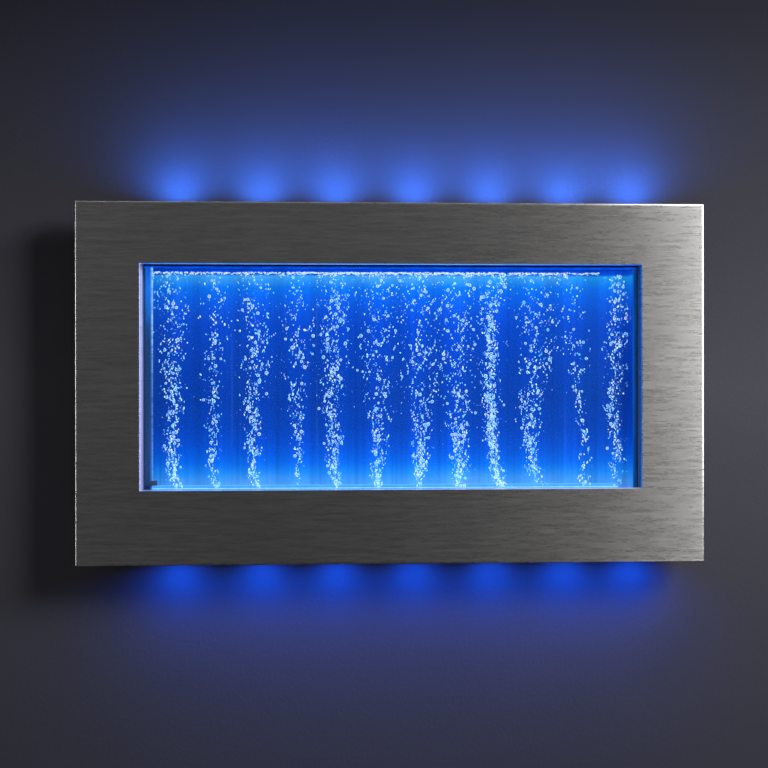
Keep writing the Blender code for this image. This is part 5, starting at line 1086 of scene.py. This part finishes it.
def makeRivet(look):  # low dome on a thin collar
    deselectAll()
    bpy.ops.mesh.primitive_uv_sphere_add(segments=20, ring_count=10, radius=look["radius"])
    dome = bpy.context.object
    dome.scale = (1.0, 1.0, look["height"] / look["radius"])
    applyShape()
    switchMode("EDIT")
    bpy.ops.mesh.select_all(action="SELECT")
    bpy.ops.mesh.bisect(plane_co=(0.0, 0.0, 0.0), plane_no=(0.0, 0.0, 1.0), use_fill=True, clear_inner=True)
    switchMode("OBJECT")
    bpy.ops.object.shade_smooth_by_angle(angle=look["smooth"])
    collar = makeDisc(look["collar"], -0.0002, look["collarHeight"])
    softenEdges(collar, 0.0002, 1)
    return joinAll([dome, collar])


def placeCopies(source, axis, places):  # turns +Z to the named axis
    aim = Vector([(1.0 if axis[0] == "+" else -1.0) * (letter == axis[1]) for letter in "XYZ"])
    turn = aim.to_track_quat("Z", "Y").to_matrix().to_4x4()
    return joinAll([copyPiece(source, Matrix.Translation(place) @ turn) for place in places])


def makeFasteners(look):
    sources = {"screw": makeScrew(look["screw"]), "rivet": makeRivet(look["rivet"])}
    for name, (kind, axis, places) in look["seats"].items():
        settlePiece(placeCopies(sources[kind], axis, places), name, look["finish"])
    for source in sources.values():
        dropPiece(source)


# Rings: finish, axis, outer and inner radius, length, rounding, places
ringLook = {
    "spacerWashers": ("zincPlate", "+Y", 0.0160, 0.0131, 0.0012, 0.0003, [
        (-0.412, -0.0201, -0.386), (0.412, -0.0201, -0.386)]),
    "spoutGrommet": ("blackRubber", "-Z", 0.0088, 0.0052, 0.0017, 0.0005, [(0.3855, -0.0461, -0.4558)]),
    "knobCollar": ("blackPlastic", "-Z", 0.0060, 0.0042, 0.0009, 0.0003, [(-0.3665, -0.0461, -0.4559)]),
    "buttonCollar": ("zincPlate", "-Z", 0.0066, 0.0047, 0.0012, 0.0004, [(-0.0400, -0.0461, -0.4559)]),
    "hoseClampsAcross": ("zincPlate", "+X", 0.0041, 0.00295, 0.0040, 0.0003, [
        (-0.3512, -0.0461, -0.4442), (-0.2923, -0.0475, -0.4442)]),
    "hoseClampsUp": ("zincPlate", "+Z", 0.0041, 0.00295, 0.0040, 0.0003, [(-0.4165, -0.0461, -0.4082)]),
    "checkValveBands": ("blackPlastic", "+Z", 0.0090, 0.0078, 0.0022, 0.0004, [
        (-0.4165, -0.0461, -0.3920), (-0.4165, -0.0461, -0.3770)]),
    "leadClips": ("greyPlastic", "+Z", 0.0042, 0.0021, 0.0060, 0.0005, [
        (0.43275, -0.0316, z) for z in (-0.300, -0.220, -0.140)]),
    "drainUnionRings": ("brass", "+Z", 0.0120, 0.0098, 0.0020, 0.0005, [
        (0.3855, -0.0461, -0.4030), (0.3855, -0.0461, -0.3906)]),
    "driverCollar": ("blackPlastic", "+X", 0.0046, 0.0025, 0.0040, 0.0006, [(0.2200, -0.0461, -0.4380)]),
}


def makeRing(outer, inner, length, rounding, vertices=32):  # along +Z from the origin
    deselectAll()
    bpy.ops.mesh.primitive_cylinder_add(vertices=vertices, radius=outer, depth=length,
                                        location=(0.0, 0.0, length / 2), end_fill_type="NOTHING")
    applyShape()
    ring = bpy.context.object
    addModifier(ring, "SOLIDIFY", thickness=outer - inner, offset=-1.0)
    softenEdges(ring, rounding)
    return ring


def makeRings(look):
    for name, (finish, axis, outer, inner, length, rounding, places) in look.items():
        ring = makeRing(outer, inner, length, rounding)
        settlePiece(placeCopies(ring, axis, places), name, finish)
        dropPiece(ring)


# Plates, beads and fins: finish, rounding, then a low and a high corner for each
blockLook = {
    "trayBeads": ("blackPaint", 0.0011, [
        ((-0.400, -0.0201, z - 0.0065), (0.400, -0.0187, z + 0.0065))
        for z in (-0.080, -0.155, -0.230, -0.305)]),
    "frameGussets": ("zincPlate", 0.0005, [
        ((x - 0.0105, -0.0939, z - 0.0105), (x + 0.0105, -0.0922, z + 0.0105))
        for x in (-0.4945, 0.4945) for z in (-0.4690, 0.0880)]),
    "controllerLid": ("blackPlastic", 0.0006, [((-0.0985, -0.0646, -0.4326), (-0.0215, -0.0276, -0.4311))]),
    "pumpCoverRibs": ("greyPlastic", 0.0004, [
        ((-0.262, y - 0.0011, -0.4107), (-0.188, y + 0.0011, -0.4093))
        for y in [-0.0625 + step * 0.0060 for step in range(6)]]),
    "driverFins": ("castAlloy", 0.0004, [
        ((0.064, y - 0.0009, -0.4228), (0.206, y + 0.0009, -0.4192))
        for y in [-0.0625 + step * 0.0055 for step in range(7)]]),
    "driverTerminals": ("blackPlastic", 0.0005, [
        ((0.0405, y - 0.0040, -0.4480), (0.0502, y + 0.0040, -0.4370))
        for y in (-0.0591, -0.0501, -0.0411, -0.0331)]),
    "inletPins": ("zincPlate", 0.0003, [
        ((x - 0.0011, y - 0.0021, -0.4555), (x + 0.0011, y + 0.0021, -0.4420))
        for x, y in ((0.3280, -0.0440), (0.3350, -0.0490), (0.3420, -0.0440))]),
    "leadClipFeet": ("greyPlastic", 0.0004, [
        ((0.4285, -0.0278, z + 0.0003), (0.4370, -0.0211, z + 0.0057)) for z in (-0.300, -0.220, -0.140)]),
    "valveArrows": ("greyPlastic", 0.0002, [
        ((-0.4171, -0.0543, -0.3885), (-0.4159, -0.0538, -0.3810)),
        ((-0.4183, -0.0543, -0.3823), (-0.4147, -0.0538, -0.3809))]),
}


def makeBlocks(look):
    for name, (finish, rounding, blocks) in look.items():
        settlePiece(joinAll([addBlock(low, high, rounding) for low, high in blocks]), name, finish)


# Grip ribs, one modelled and turned round its part's axis: centre, radii, heights, count, width
gripLook = {
    "knobRibs": ((-0.3665, -0.0461), (0.0084, 0.0096), (-0.4670, -0.4585), 20, 0.0011),
    "capRibs": ((0.3550, -0.0461), (0.0142, 0.0157), (0.0196, 0.0312), 28, 0.0014),
}


def makeGrips(look):
    for name, (centre, radii, heights, count, width) in look.items():
        rib = addBlock((radii[0], -width / 2, heights[0]), (radii[1], width / 2, heights[1]), 0.0003)
        turns = [Matrix.Rotation(2.0 * math.pi * step / count, 4, "Z") for step in range(count)]
        twins = [copyPiece(rib, Matrix.Translation((*centre, 0.0)) @ turn) for turn in turns]
        settlePiece(joinAll(twins), name, "blackPlastic")
        dropPiece(rib)


# Marks on the rocker's two sloping faces, a bar for on and a ring for off, each with its place and slope
rockerLook = {"bar": (0.0008, 0.0048), "barPlace": (0.2806, -0.0461, -0.46020), "barSlope": -0.03,
              "ring": (0.0023, 0.0015), "ringPlace": (0.2887, -0.0461, -0.46135), "ringSlope": 0.3097,
              "proud": 0.00025, "sunk": 0.0002}


def makeRockerMarks(look):
    wide, tall = look["bar"]
    bar = addBlock((-wide / 2, -tall / 2, -look["proud"]), (wide / 2, tall / 2, look["sunk"]))
    ring = makeRing(*look["ring"], look["proud"] * 2, 0.00005, 24)
    ring.data.transform(Matrix.Translation((0.0, 0.0, -look["proud"])))
    for mark, piece in (("bar", bar), ("ring", ring)):
        slope = Matrix.Rotation(look[mark + "Slope"], 4, "Y")
        piece.data.transform(Matrix.Translation(look[mark + "Place"]) @ slope)
    settlePiece(joinAll([bar, ring]), "rockerMarks", "whiteBoard")


# Rows of lights on the two strips inside the tank's rails: level, way they face, first and last place
chipLook = {
    "strips": {"ledChipsLower": (-0.3799, 1.0, -0.380, 0.345),
               "ledChipsUpper": (0.0164, -1.0, -0.380, 0.305)},
    "pitch": 0.029, "depth": -0.0461, "half": 0.0025, "height": 0.0014, "rounding": 0.0003,
    "lens": 0.0019, "lensHeight": 0.0004,
}


def makeChips(look):
    half = look["half"]
    for name, (level, side, start, end) in look["strips"].items():
        low, high = sorted((level - side * 0.0001, level + side * look["height"]))
        front, back = look["depth"] - half, look["depth"] + half
        chip = addBlock((-half, front, low), (half, back, high), look["rounding"])
        lens = makeDisc(look["lens"], 0.0, look["lensHeight"], 16)
        lensLevel = level + side * (look["height"] + 0.0001) - look["lensHeight"] / 2
        lens.data.transform(Matrix.Translation((0.0, look["depth"], lensLevel)))
        count = int((end - start) / look["pitch"]) + 1
        steps = [Matrix.Translation((start + step * look["pitch"], 0.0, 0.0)) for step in range(count)]
        for source, pieceName, finish in ((chip, name, "whiteBoard"), (lens, name + "Lenses", "railOpal")):
            settlePiece(joinAll([copyPiece(source, step) for step in steps]), pieceName, finish)
            dropPiece(source)


makeFasteners(fastenerLook)
makeRings(ringLook)
makeBlocks(blockLook)
makeGrips(gripLook)
makeRockerMarks(rockerLook)
makeChips(chipLook)
print("fasteners, clamps and small fittings made")
makeFrameSheet(frameLook)
makeGlazing(glazingLook)
makeHaloTips(haloLook)
print("frame sheet, glazing strips and halo lights made")
makeWater(tankInside, rippleLook)
makeStreams(streamLook, tankInside)
makeFoam(foamLook, tankInside)
print("water, bubbles and foam made")
